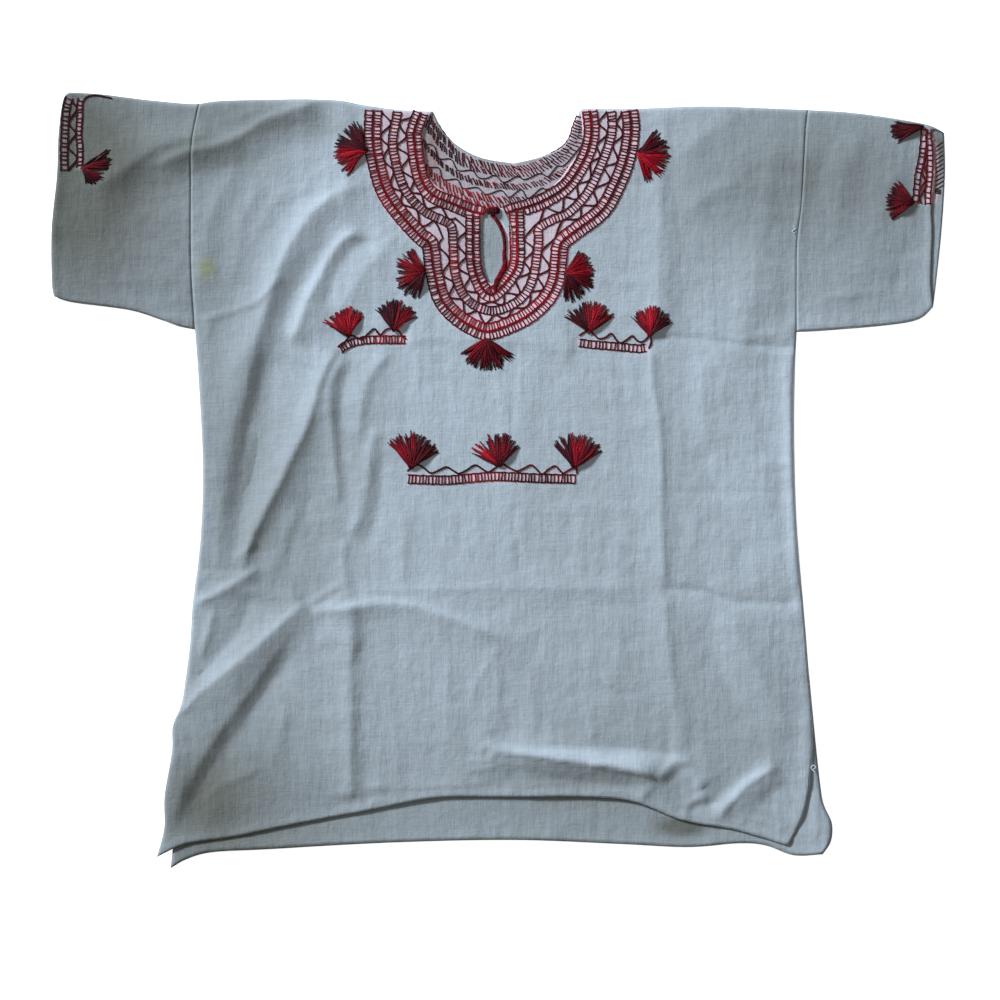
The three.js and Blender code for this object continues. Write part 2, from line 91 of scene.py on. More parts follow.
class Face(Enum):
    """The side of the cloth that thread lies on."""

    UP = 1
    DOWN = -1


# ---- Curves ----


def smooth(t: Array | float) -> Array:
    """An S-shaped step from 0 to 1: 3t^2 - 2t^3 between t = 0 and t = 1."""
    t = np.clip(t, 0.0, 1.0)
    return t * t * (3.0 - 2.0 * t)


def even(count: int) -> Array:
    """Evenly spaced shares from 0 to 1."""
    return np.linspace(0.0, 1.0, count)


def ripple(along: Array, pitch: float, seed: int) -> Array:
    """An uneven wave between about -1 and 1: three sines whose pitches have no common measure.

    Args:
        along: distance.
        pitch: length of the main sine.
        seed: shifts the sines.

    Returns:
        The wave's height at each distance.
    """
    turn = 2.0 * math.pi / pitch
    parts = ((1.0, 0.5), (1.618, 0.3), (0.731, 0.35))
    return sum(size * np.sin(turn * rate * along + seed * (2.1 + 1.7 * rate)) for rate, size in parts)


@dataclass(frozen=True)
class Line:
    """A smooth line through given points.

    Each stretch is a uniform Catmull-Rom cubic, and a place on the line is its share of the length.
    """

    points: tuple[Point, ...]

    @cached_property
    def samples(self) -> Array:
        """Points along the curve, sixteen to a stretch.

        Returns:
            One point to a row.
        """
        p = np.array(self.points, float)
        p = np.vstack([p[:1], p, p[-1:]])
        t = np.arange(16)[None, :, None] / 16.0
        before, start, end, after = (p[i : len(p) - 3 + i, None] for i in range(4))
        leave, arrive = (end - before) / 2.0, (after - start) / 2.0
        curve = (2 * start - 2 * end + leave + arrive) * t**3
        curve = curve + (3 * end - 3 * start - 2 * leave - arrive) * t**2 + leave * t + start
        return np.vstack([curve.reshape(-1, 2), p[-1:]])

    @cached_property
    def marks(self) -> Array:
        """Length of the curve up to each sample."""
        steps = np.linalg.norm(np.diff(self.samples, axis=0), axis=1)
        return np.concatenate([[0.0], np.cumsum(steps)])

    @property
    def length(self) -> float:
        """Length of the whole curve."""
        return float(self.marks[-1])

    def at(self, share: Array) -> Array:
        """Places on the curve, by share of its length."""
        where = np.clip(share, 0.0, 1.0) * self.length
        return np.stack([np.interp(where, self.marks, self.samples[:, i]) for i in (0, 1)], -1)

    def normal(self, share: Array) -> Array:
        """Unit vectors to the left of the curve, from its chord over about 4 mm.

        Args:
            share: places along the curve, from 0 to 1.

        Returns:
            One unit vector for each place.
        """
        reach = 2.0 / self.length
        chord = self.at(share + reach) - self.at(share - reach)
        chord = chord / np.maximum(np.linalg.norm(chord, axis=-1, keepdims=True), 1e-9)
        return np.stack([-chord[..., 1], chord[..., 0]], -1)

    def beside(self, share: Array, offset: Array | float) -> Array:
        """Places moved to the left of the curve by offset."""
        offset = np.asarray(offset, float)[..., None] if np.ndim(offset) else offset
        return self.at(share) + self.normal(share) * offset

    def moved(self, offset: float, count: int) -> "Line":
        """A line to the left of this one by offset, through count places."""
        return Line(tuple(map(tuple, self.beside(even(count), offset))))

    def measure(self, xy: Array) -> tuple[Array, Array]:
        """Distance from the curve and place on it.

        Args:
            xy: points, one to a row.

        Returns:
            The distance of each point, positive to the left, and the share of the length there.
        """
        start, step = self.samples[:-1], np.diff(self.samples, axis=0)
        size = np.maximum((step**2).sum(1), 1e-9)
        away = xy[:, None] - start[None]
        t = np.clip((away * step).sum(2) / size, 0.0, 1.0)
        off = away - t[..., None] * step
        best = (off**2).sum(2).argmin(1)
        row = np.arange(len(xy))
        off, t = off[row, best], t[row, best]
        side = np.sign(step[best, 0] * off[:, 1] - step[best, 1] * off[:, 0])
        share = (self.marks[best] + t * np.sqrt(size[best])) / self.length
        return side * np.linalg.norm(off, axis=1), share


def near_line(line: Line, xy: Array, reach: float) -> Iterator[tuple[Array, Array, Array]]:
    """Measures the points within reach of a line, in blocks.

    Args:
        line: the line.
        xy: points, one to a row.
        reach: how far past the line's box to look.

    Yields:
        Row numbers, their distances from the line and their shares along it.
    """
    low, high = line.samples.min(0) - reach, line.samples.max(0) + reach
    close = np.flatnonzero(((xy > low) & (xy < high)).all(1))
    for part in np.array_split(close, len(close) // 6000 + 1):
        if len(part):
            yield part, *line.measure(xy[part])


@dataclass(frozen=True)
class Stretch:
    """Part of a line, between two shares of its length."""

    line: Line
    start: float = 0.0
    end: float = 1.0

    def at(self, share: Array) -> Array:
        """Places on the part, by share of the part."""
        return self.line.at(self.start + (self.end - self.start) * share)


@dataclass(frozen=True)
class Chain:
    """Lines joined end to end, each with its own share of the rows."""

    parts: tuple[Line | Stretch, ...]
    ends: tuple[float, ...]

    def at(self, share: Array) -> Array:
        """Places on the chain: a share falls on one part, and is spread evenly along it.

        Args:
            share: places along the chain, from 0 to 1.

        Returns:
            One point for each place.
        """
        place, start = np.zeros(np.shape(share) + (2,)), 0.0
        for part, end in zip(self.parts, self.ends):
            inside = (share >= start - 1e-9) & (share <= end + 1e-9)
            place[inside] = part.at((share[inside] - start) / (end - start))
            start = end
        return place


def coons(left: Chain, right: Chain, bottom: Stretch, top: Stretch, columns: int, rows: int) -> Array:
    """A grid filled in between four edges.

    The blend across plus the blend up, less the blend of the four corners, as in a Coons patch.

    Args:
        left: edge at the first column, from bottom to top.
        right: edge at the last column, from bottom to top.
        bottom: edge at the first row, from left to right.
        top: edge at the last row, from left to right.
        columns: squares across.
        rows: squares up.

    Returns:
        Places with shape (rows + 1, columns + 1, 2).
    """
    u, v = even(columns + 1), even(rows + 1)
    west, east = left.at(v)[:, None], right.at(v)[:, None]
    south, north = bottom.at(u)[None], top.at(u)[None]
    u, v = u[None, :, None], v[:, None, None]
    low = west[:1] * (1 - u) + east[:1] * u
    high = west[-1:] * (1 - u) + east[-1:] * u
    return west * (1 - u) + east * u + south * (1 - v) + north * v - low * (1 - v) - high * v


def nearest(xy: Array, marks: Array) -> Array:
    """Distance from points to the nearest of some marks, worked out in blocks of rows.

    Args:
        xy: points, one to a row.
        marks: marks, one to a row.

    Returns:
        One distance for each point.
    """
    blocks = np.array_split(xy, max(1, len(xy) * len(marks) // 4_000_000))
    return np.concatenate(
        [np.sqrt(((b[:, None] - marks[None]) ** 2).sum(2).min(1)) for b in blocks]
    )


# ---- Tables: the garment's outline ----

PIT_LEFT, PIT_RIGHT = (-288.4, 143.6), (283.8, 141.2)
SHOULDER_TIP_LEFT, SHOULDER_TIP_RIGHT = (-284.3, 358.2), (294.3, 352.4)
NECK_TOP_LEFT, NECK_TOP_RIGHT = (-62, 351), (78, 353.5)
SLIT_TOP_LEFT, SLIT_TOP_RIGHT, SLIT_FOOT = (-12, 259.8), (-2, 257.6), (-6, 186.5)
NECK_BACK = (15, 301.6)
CUFF_FOOT_LEFT, CUFF_TOP_LEFT = (-422.4, 175.2), (-407, 369.1)
CUFF_FOOT_RIGHT, CUFF_TOP_RIGHT = (413.6, 165), (424, 330.6)
FRONT_CORNER_LEFT, FRONT_CORNER_RIGHT = (-324.6, -358), (276.2, -347.2)
BACK_CORNER_LEFT, BACK_CORNER_RIGHT = (-311.8, -369.1), (308.5, -355.4)
# the sides where front and back are joined, up to the pits
FLANK_LEFT = (
    (-300.2, -208.5), (-293.2, -155), (-290.6, -117.3), (-282.9, -55), (-280.7, 15), (-284.8, 95), PIT_LEFT,
)
FLANK_RIGHT = ((293.6, -161), (289.6, -112.6), (283.6, -40), (281.3, 40), (282.1, 105), PIT_RIGHT)

LEFT_ARMHOLE = Line((PIT_LEFT, (-291.4, 200), (-291.9, 260), (-290.6, 320), SHOULDER_TIP_LEFT))
RIGHT_ARMHOLE = Line((PIT_RIGHT, (283.4, 219), (288.1, 264.6), (291.6, 322), SHOULDER_TIP_RIGHT))
FRONT_LEFT_SIDE = Line((
    FRONT_CORNER_LEFT, (-317.6, -330), (-317.2, -300), (-310.2, -258), (-309.4, -233), *FLANK_LEFT,
))
FRONT_RIGHT_SIDE = Line((FRONT_CORNER_RIGHT, (289.5, -320.6), (296.6, -285), (299.2, -240), *FLANK_RIGHT))
BACK_LEFT_SIDE = Line((BACK_CORNER_LEFT, (-309, -340), (-309, -291), (-305, -252), *FLANK_LEFT))
BACK_RIGHT_SIDE = Line((
    BACK_CORNER_RIGHT, (316.4, -343.4), (317.4, -326), (309.6, -308), (306.4, -290), (301.5, -245),
    *FLANK_RIGHT,
))
FRONT_HEM = Line((
    FRONT_CORNER_LEFT, (-297, -345.5), (-253, -339), (-200, -328), (-121.8, -313.5), (-57.2, -301.6),
    (12.1, -301), (78.6, -300.7), (128, -305), (175.5, -323), (225, -332), FRONT_CORNER_RIGHT,
))
BACK_HEM = Line((
    BACK_CORNER_LEFT, (-297, -360.4), (-272, -353.4), (-220, -350.6), (-100, -344.2), (15, -341.8),
    (115, -345.6), (180, -348.6), (228, -345), (254, -347), (281, -356.4), BACK_CORNER_RIGHT,
))
SHOULDER_LEFT = Line((
    SHOULDER_TIP_LEFT, (-255, 361.4), (-163, 362.2), (-127.5, 357), (-93, 352.4), NECK_TOP_LEFT,
))
SHOULDER_RIGHT = Line((NECK_TOP_RIGHT, (130, 353.6), (200, 355.8), SHOULDER_TIP_RIGHT))
NECK_LEFT = Line((SLIT_TOP_LEFT, (-42, 270), (-61, 282.6), (-70.6, 302), (-71.5, 334), NECK_TOP_LEFT))
NECK_RIGHT = Line((SLIT_TOP_RIGHT, (28.7, 266.5), (52, 280), (67, 298.3), (79.6, 320), NECK_TOP_RIGHT))
KEYHOLE_LEFT = Line((SLIT_FOOT, (-13, 194), (-17.3, 218), (-16.6, 244), SLIT_TOP_LEFT))
KEYHOLE_RIGHT = Line((SLIT_FOOT, (1.6, 195.5), (5.6, 220), (4.2, 240), SLIT_TOP_RIGHT))
BACK_NECK_LEFT = Line((NECK_BACK, (-20, 308.4), (-48.5, 326.8), NECK_TOP_LEFT))
BACK_NECK_RIGHT = Line((NECK_BACK, (45, 309.4), (65, 321.5), NECK_TOP_RIGHT))
LEFT_SLEEVE_TOP = Line((SHOULDER_TIP_LEFT, (-300, 358.6), (-340, 362.6), (-378, 367.4), CUFF_TOP_LEFT))
LEFT_SLEEVE_SEAM = Line((
    PIT_LEFT, (-303, 146.4), (-318.5, 152), (-350.8, 162), (-405, 169.4), CUFF_FOOT_LEFT,
))
LEFT_CUFF = Line((
    CUFF_FOOT_LEFT, (-424.3, 190), (-424.4, 240), (-419.4, 290), (-417.8, 330), (-413.5, 362), CUFF_TOP_LEFT,
))
RIGHT_SLEEVE_TOP = Line((SHOULDER_TIP_RIGHT, (333.2, 350.1), (377.9, 344.2), (410, 337.8), CUFF_TOP_RIGHT))
RIGHT_SLEEVE_SEAM = Line((PIT_RIGHT, (310, 142.4), (370.3, 147.6), (399.7, 153.2), CUFF_FOOT_RIGHT))
# the upper layer is cut back near the fold, where the lower one shows
RIGHT_CUFF = Line((
    CUFF_FOOT_RIGHT, (411.2, 189.5), (412.6, 235.1), (412, 260), (415.6, 288), (414.2, 312), (410.8, 326),
    (412.6, 334), (418, 332.8), CUFF_TOP_RIGHT,
))
RIGHT_CUFF_UNDER = Line((CUFF_FOOT_RIGHT, (416.6, 190), (421.6, 238), (424.8, 290), CUFF_TOP_RIGHT))


# ---- Tables: how the cloth lies ----


@dataclass(frozen=True)
class Crease:
    """A ridge or trough along a line.

    Its height is rise times a slow start and end along the line, times exp(-(d / width)^sharpness)
    across it, where the width may differ on its left and its right.
    """

    rise: float
    left: float
    right: float
    sharpness: float
    line: Line
    fade: float = 0.22

    def height(self, xy: Array) -> Array:
        """Height that the crease adds.

        Args:
            xy: points, one to a row.

        Returns:
            One height for each point.
        """
        total = np.zeros(len(xy))
        for part, off, share in near_line(self.line, xy, 3.0 * max(self.left, self.right)):
            width = np.where(off > 0, self.left, self.right)
            along = smooth(share / self.fade) * smooth((1.0 - share) / self.fade)
            total[part] = self.rise * along * np.exp(-((np.abs(off) / width) ** self.sharpness))
        return total


def crease(rise: float, left: float, right: float, sharpness: float, fade: float, *points: Point) -> Crease:
    """A crease through points, as one row of a table."""
    return Crease(rise, left, right, sharpness, Line(points), fade)


def pucker(from_x: float, from_y: float, to_x: float, to_y: float) -> Crease:
    """A small pucker across the left armhole's seam."""
    return crease(0.45, 1.8, 2, 1.2, 0.3, (from_x, from_y), (-291, from_y + 1), (to_x, to_y))


def fold(rise: float, width: float, *points: Point) -> Crease:
    """One of the frame's large folds, at part of its height, because the creases sharpen it."""
    return Crease(FOLD_SHARE * rise, width, width, 2.0, Line(points), FOLD_FADE)


# rise and width, then the line
FOLD_ROWS = (
    (4.0, 20, (-392, 300), (-270, 338), (-190, 350)),
    (-3.5, 18, (-366, 258), (-240, 305), (-130, 336)),
    (6.0, 20, (-150, 284), (-184, 240), (-231, 144), (-250, 30)),
    (-4.5, 17, (-117, 258), (-196, 168), (-228, 70), (-252, -80)),
    (5.5, 15, (-166, 108), (-178, 58), (-213, -14), (-262, -88)),
    (5.0, 16, (-185, -118), (-240, -168), (-298, -215)),
    (-4.5, 16, (-190, -140), (-225, -200), (-268, -268), (-305, -342)),
    (6.5, 15, (-8, -252), (70, -268), (142, -281), (170, -300)),
    (4.0, 14, (-138, -292), (-80, -291), (-5, -290)),
    (5.0, 14, (204, -328), (236, -300), (272, -268)),
    (2.5, 18, (17, 125), (17, 20), (21, -95)),
    (2.5, 18, (157, 330), (152, 90), (156, -100), (172, -250)),
)
FOLDS = tuple(fold(*row) for row in FOLD_ROWS)

# rise, width to the left, width to the right, sharpness, fade, then the line
CREASE_ROWS = (
    # folds over the left sleeve, on to the shoulder
    (3.6, 13, 12, 1.35, 0.2, (-397, 274), (-371, 285), (-346, 302), (-324, 315), (-301, 323), (-279, 327),
     (-262, 331)),
    (4.4, 5, 21, 1.3, 0.15, (-335, 293), (-314, 304), (-293, 312), (-269, 318), (-245, 328), (-222, 342),
     (-196, 352), (-165, 361)),
    (1.2, 6, 12, 1.3, 0.15, (-255, 342), (-230, 352), (-204, 359), (-171, 363)),
    (-2, 15, 22, 1.3, 0.2, (-262, 312), (-231, 325), (-188, 339), (-141, 346)),
    (0.6, 3, 3, 1.2, 0.2, (-342, 232), (-321, 234), (-310, 228), (-293, 232)),
    (0.5, 2.5, 3, 1.2, 0.2, (-355, 216), (-321, 212), (-291, 208)),
    (0.5, 2.5, 3, 1.2, 0.2, (-382, 190), (-331, 190), (-302, 189)),
    (0.9, 3, 3, 1.1, 0.12, (-287, 150), (-269, 157), (-245, 164), (-229, 171), (-217, 181), (-202, 197)),
    (1, 3, 3, 1.2, 0.2, (-321, 156), (-310, 153), (-299, 155), (-287, 148)),
    (0.8, 3, 3, 1.2, 0.2, (-272, 154), (-276, 141), (-281, 128)),
    (-0.4, 2, 2, 1.3, 0.04, (-293, 323), (-293, 266), (-292, 209), (-290, 151)),
    # soft folds beside the armhole
    (1.6, 11, 10, 1.4, 0.2, (-242, 306), (-259, 280), (-275, 244), (-280, 202), (-280, 171)),
    (1.4, 11, 10, 1.4, 0.2, (-221, 289), (-238, 259), (-247, 225), (-251, 181)),
    (1, 8, 8, 1.4, 0.2, (-192, 280), (-211, 266), (-224, 246), (-230, 223)),
    # the two long folds from the neck to the left side
    (3.6, 15, 8, 1.3, 0.12, (-120, 280), (-146, 276), (-167, 263), (-186, 242), (-201, 217), (-212, 189),
     (-223, 154), (-234, 114)),
    (3.4, 15, 34, 1.4, 0.1, (-230, 133), (-242, 86), (-252, 46), (-259, 5), (-263, -38), (-268, -87)),
    (-3.6, 38, 13, 1.4, 0.1, (-217, 129), (-229, 81), (-238, 42), (-243, 0), (-247, -39), (-252, -83)),
    (5.4, 15, 7, 1.25, 0.12, (-129, 240), (-146, 229), (-159, 213), (-170, 192), (-181, 171), (-189, 149),
     (-197, 126)),
    (-1.5, 8, 8, 1.6, 0.2, (-109, 232), (-139, 219), (-152, 198), (-160, 175), (-167, 158)),
    (2, 16, 12, 1.4, 0.15, (-93, 236), (-120, 208), (-139, 179), (-156, 154)),
    # the fold that leaves the left chest motif
    (4.4, 6, 13, 1.1, 0.12, (-141, 135), (-157, 118), (-168, 95), (-175, 72), (-183, 48), (-195, 24),
     (-205, 2), (-217, -21), (-229, -45), (-238, -66), (-242, -95)),
    (3, 9, 6, 1.2, 0.1, (-144, 122), (-156, 99), (-160, 73), (-157, 38), (-153, 0), (-150, -26)),
    (-1.8, 7, 7, 1.4, 0.12, (-139, 113), (-147, 88), (-149, 48), (-148, 10), (-146, -28)),
    (2.2, 6, 10, 1.2, 0.15, (-101, 124), (-116, 107), (-126, 86), (-130, 63), (-134, 35)),
    (2.4, 8, 10, 1.2, 0.12, (-114, 54), (-121, 24), (-126, -9), (-133, -39), (-145, -57)),
    (1.8, 6, 6, 1.2, 0.15, (-145, -53), (-147, -76), (-144, -98), (-141, -117)),
    (-1.4, 8, 8, 1.5, 0.2, (-109, 29), (-112, -9), (-118, -41), (-129, -72)),
    (1.5, 9, 9, 1.4, 0.2, (-188, -19), (-200, -47), (-211, -74), (-219, -98)),
    (-1.4, 8, 8, 1.4, 0.2, (-171, 0), (-185, -32), (-196, -64), (-204, -95)),
    (1.2, 3, 4, 1.1, 0.2, (-228, -55), (-240, -67), (-253, -76)),
    (0.8, 2.5, 3, 1.1, 0.1, (-282, -88), (-262, -90), (-240, -88)),
    # the crushed corner at the left waist
    (4.2, 4, 10, 1.1, 0.22, (-293, -119), (-262, -104), (-237, -89), (-224, -81)),
    (-2.8, 10, 13, 1.2, 0.1, (-236, -106), (-240, -125), (-249, -146), (-268, -168), (-291, -193)),
    (0.9, 6, 5, 1.2, 0.12, (-270, -119), (-274, -142), (-285, -167)),
    (1.2, 4, 4, 1.2, 0.15, (-272, -123), (-276, -146), (-283, -171)),
    (0.9, 3, 4, 1.1, 0.12, (-238, -104), (-211, -108), (-185, -113)),
    (1.6, 3, 4, 1.1, 0.15, (-181, -117), (-164, -107), (-147, -97)),
    (1.4, 3, 4, 1.1, 0.15, (-177, -126), (-162, -119), (-145, -109)),
    # the fold from the middle to the left hip
    (4, 4, 12, 1.1, 0.2, (-188, -128), (-160, -123), (-139, -119), (-112, -116), (-84, -118), (-63, -124),
     (-36, -132), (-10, -143), (19, -155)),
    (1.6, 12, 40, 1.3, 0.15, (-171, -131), (-135, -123), (-74, -123), (-8, -146), (40, -161)),
    (1.6, 12, 12, 1.4, 0.2, (-173, -144), (-150, -152), (-129, -161)),
    (4, 20, 6, 1.05, 0.05, (-183, -115), (-203, -133), (-224, -152), (-246, -171), (-268, -189), (-287, -205),
     (-302, -224)),
    (2.3, 6, 22, 1.2, 0.2, (-191, -136), (-217, -172), (-238, -203), (-259, -231), (-278, -259), (-293, -284),
     (-306, -315), (-318, -347)),
    (-1.9, 32, 7, 1.3, 0.2, (-188, -150), (-209, -182), (-230, -214), (-251, -243), (-270, -269),
     (-285, -294), (-299, -324), (-310, -349)),
    (0.9, 5, 6, 1.3, 0.2, (-202, -209), (-205, -231), (-211, -258), (-217, -279)),
    (1, 3, 4, 1.2, 0.15, (-221, -271), (-245, -282), (-266, -292), (-280, -309)),
    (1.2, 2.5, 3, 1.1, 0.1, (-301, -229), (-297, -256), (-299, -281), (-306, -309)),
    (1, 2.5, 3, 1.1, 0.1, (-306, -241), (-306, -269), (-310, -300)),
    # creases pressed by folding into squares
    (3.4, 8, 18, 1.25, 0.04, (-139, -114), (-139, -152), (-140, -199), (-140, -247), (-139, -304)),
    (1.5, 12, 9, 1, 0.06, (157, 354), (156, 314), (154, 266), (152, 209), (150, 143)),
    (2.2, 4, 8, 1.05, 0.06, (146, 129), (147, 91), (154, 53), (155, 0), (156, -57), (157, -102)),
    (1.6, 7, 9, 1.05, 0.08, (156, -106), (161, -152), (167, -199), (170, -237), (167, -263)),
    (-0.8, 2.6, 2.6, 1.2, 0.08, (17, 132), (16, 95), (13, 48)),
    (-0.9, 3, 3, 1.2, 0.12, (17, -19), (14, -39), (19, -64), (23, -93)),
    (0.7, 3, 3, 1.1, 0.1, (-1, -152), (0, -199), (0, -245)),
    (0.8, 4, 3, 1.2, 0.15, (0, -154), (-12, -178), (-22, -195), (-26, -222)),
    (1.4, 22, 8, 1.1, 0.05, (-90, 136), (-46, 135), (2, 133), (40, 129), (74, 122)),
    (-1.7, 2.6, 3, 1.1, 0.06, (149, 136), (182, 135), (213, 131), (249, 128), (284, 127)),
    (0.9, 3.5, 3.5, 1.1, 0.1, (226, 130), (245, 137), (283, 142)),
    (1.5, 10, 6, 1.1, 0.1, (-139, -104), (-74, -104), (2, -102), (78, -102), (149, -102)),
    (-2, 3.2, 4.2, 1.1, 0.06, (155, -103), (192, -104), (209, -110), (228, -115), (285, -116)),
    (-0.5, 2.5, 2.5, 1.1, 0.1, (157, -12), (211, -11), (284, -14)),
    # the right chest and side
    (1.8, 20, 22, 1.3, 0.12, (273, 342), (256, 276), (249, 219), (239, 171), (227, 132), (213, 92),
     (197, 54)),
    (1.6, 12, 14, 1.4, 0.2, (232, 350), (197, 329), (169, 304)),
    (1.4, 12, 14, 1.4, 0.2, (245, 297), (207, 274), (173, 253)),
    (1.6, 9, 11, 1.4, 0.2, (197, 122), (194, 91), (195, 57), (203, 23)),
    (-1.4, 14, 16, 1.5, 0.2, (186, 48), (203, 2), (222, -41), (241, -95)),
    (1.5, 12, 14, 1.4, 0.2, (252, 38), (256, -9), (264, -57), (271, -100)),
    (1.8, 12, 16, 1.4, 0.15, (213, -119), (235, -161), (258, -205), (279, -250)),
    (-1.4, 12, 12, 1.5, 0.2, (192, -125), (207, -171), (226, -214), (237, -250)),
    (0.7, 3, 3, 1.2, 0.2, (254, 20), (283, 14)),
    (0.6, 3, 3, 1.2, 0.2, (260, 0), (284, 3)),
    (1.8, 2.2, 6, 1.2, 0.05, (281, 129), (278, 76), (278, 19), (280, -38), (284, -104)),
    # soft folds over the middle
    (0.8, 9, 10, 1.4, 0.2, (59, 107), (87, 76), (119, 50), (144, 35)),
    (0.6, 4, 5, 1.4, 0.2, (-76, 126), (-77, 103), (-80, 80)),
    (0.6, 4, 5, 1.4, 0.2, (102, 122), (108, 95), (110, 67)),
    (0.6, 5, 5, 1.4, 0.2, (123, 124), (127, 95), (125, 69)),
    (0.8, 9, 9, 1.5, 0.2, (-93, -19), (-90, -76), (-95, -104)),
    (0.7, 8, 8, 1.5, 0.2, (-44, -171), (-50, -209), (-44, -250)),
    (0.8, 8, 9, 1.5, 0.2, (36, -161), (32, -209), (36, -247)),
    (0.9, 9, 9, 1.5, 0.2, (108, -114), (114, -161), (104, -209)),
    # the crushed part of the hem, right of the middle
    (2.4, 36, 34, 1.6, 0.3, (-17, -251), (59, -263), (135, -273), (192, -277)),
    (-3.4, 24, 8, 1.15, 0.08, (-12, -248), (40, -252), (97, -255), (135, -257), (176, -261)),
    (4.4, 10, 3.2, 1, 0.08, (-12, -256), (21, -259), (59, -265), (97, -270), (135, -277), (154, -283)),
    (-1.5, 18, 10, 1.2, 0.3, (78, -254), (135, -256), (178, -260)),
    (1.8, 15, 3, 1, 0.3, (78, -267), (106, -271), (135, -276), (156, -283)),
    (3.2, 8, 4, 1, 0.15, (175, -261), (161, -272), (149, -284)),
    (-1.8, 5, 6, 1.2, 0.2, (178, -267), (169, -279), (157, -290)),
    (2.8, 9, 5, 1, 0.1, (174, -263), (184, -275), (194, -292)),
    (-1.6, 8, 8, 1.5, 0.1, (2, -275), (49, -283), (97, -289), (138, -294)),
    (1.2, 3, 5, 1.1, 0.1, (2, -291), (49, -289), (97, -292), (135, -296)),
    (1.4, 4, 4, 1.1, 0.12, (147, -284), (141, -294), (135, -305)),
    (1.2, 4, 4, 1.2, 0.15, (144, -287), (157, -302), (171, -315)),
    (1.6, 5, 4, 1.1, 0.15, (201, -300), (186, -304), (179, -313), (178, -324)),
    (-1.6, 4, 6, 1.2, 0.15, (176, -315), (192, -309), (213, -305)),
    (3.2, 4, 6, 1.05, 0.12, (268, -269), (252, -278), (238, -287), (225, -301), (214, -313), (210, -326)),
    (-0.9, 12, 8, 1.4, 0.15, (279, -281), (260, -298), (245, -313), (233, -330)),
    (-1.4, 6, 10, 1.4, 0.15, (251, -271), (228, -286), (209, -302), (195, -315)),
    (0.9, 3, 3, 1.1, 0.15, (228, -323), (251, -324), (277, -334)),
    (0.9, 3, 3, 1.1, 0.15, (241, -309), (264, -317), (285, -332)),
    (0.9, 3, 3, 1.1, 0.15, (260, -294), (277, -309), (290, -326)),
    (1.6, 3, 3.5, 1.1, 0.15, (-18, -262), (-14, -254), (-6, -250), (2, -252)),
    (1.2, 2.6, 3, 1.2, 0.15, (-31, -267), (-17, -266), (0, -263)),
    (1.2, 2.6, 3, 1.2, 0.15, (-33, -276), (-17, -274), (2, -270)),
    (1.6, 5, 4, 1.05, 0.15, (-135, -292), (-93, -292), (-46, -290), (-2, -288)),
    (0.9, 3, 3, 1.2, 0.15, (-129, -309), (-101, -301), (-71, -296)),
    (0.7, 3, 3, 1.2, 0.15, (-110, -309), (-84, -303), (-55, -298)),
    # the right sleeve
    (1.2, 12, 14, 1.4, 0.2, (355, 344), (334, 304), (323, 257), (315, 208)),
    (-1, 10, 12, 1.5, 0.2, (330, 342), (309, 304), (298, 257)),
    (1, 11, 12, 1.4, 0.2, (384, 314), (366, 266), (351, 219), (346, 171)),
    (-0.8, 9, 9, 1.5, 0.2, (399, 236), (384, 208), (376, 179)),
    (0.9, 3, 5, 1.2, 0.12, (304, 173), (334, 177), (370, 180)),
    (0.5, 2.2, 2.5, 1.2, 0.2, (384, 259), (385, 238), (382, 217)),
    (0.5, 2.2, 2.5, 1.2, 0.2, (390, 261), (393, 240), (391, 219)),
    # the right armhole
    (0.9, 2.2, 2.6, 1.2, 0.04, (290, 352), (289, 304), (288, 262), (284, 228), (283, 143)),
    # upright folds of the back at its right corner
    (1.6, 4, 10, 1.2, 0.2, (292, -209), (294, -266), (298, -342)),
    (1.4, 4, 9, 1.2, 0.2, (308, -228), (311, -275), (315, -338)),
    # soft rim along the right side
    (2, 4, 10, 1.2, 0.2, (273, 133), (276, 76), (279, 10), (282, -57), (284, -123)),
    # thin crisp creases of the left chest
    (0.9, 4, 1.8, 1.1, 0.15, (-284, 147), (-269, 155), (-253, 160), (-236, 165), (-224, 173), (-215, 185),
     (-206, 196)),
    (0.7, 3, 1.6, 1.1, 0.15, (-144, 231), (-131, 232), (-116, 232), (-107, 239)),
    (0.6, 3, 1.6, 1.1, 0.15, (-204, 266), (-192, 271), (-178, 279)),
)
# small puckers across the left armhole: where each starts and ends
PUCKERS = (
    (-302, 313, -283, 316), (-299, 293, -283, 296), (-302, 279, -279, 282), (-298, 268, -280, 271),
    (-298, 251, -280, 254), (-299, 235, -280, 238), (-302, 222, -280, 225), (-299, 207, -283, 209),
    (-298, 194, -281, 197), (-302, 182, -280, 185), (-301, 170, -284, 172),
)
CREASES = tuple(crease(*row) for row in CREASE_ROWS) + tuple(pucker(*row) for row in PUCKERS)


@dataclass(frozen=True)
class Hold:
    """An edge that holds the cloth down, by how much of it."""

    share: float
    line: Line | Stretch

    def marks(self) -> Array:
        """Points on the edge, about 5 mm apart."""
        return self.line.at(even(140))


@dataclass(frozen=True)
class Turn:
    """An edge over which the cloth turns down, by how far it drops there."""

    drop: float
    line: Line | Stretch


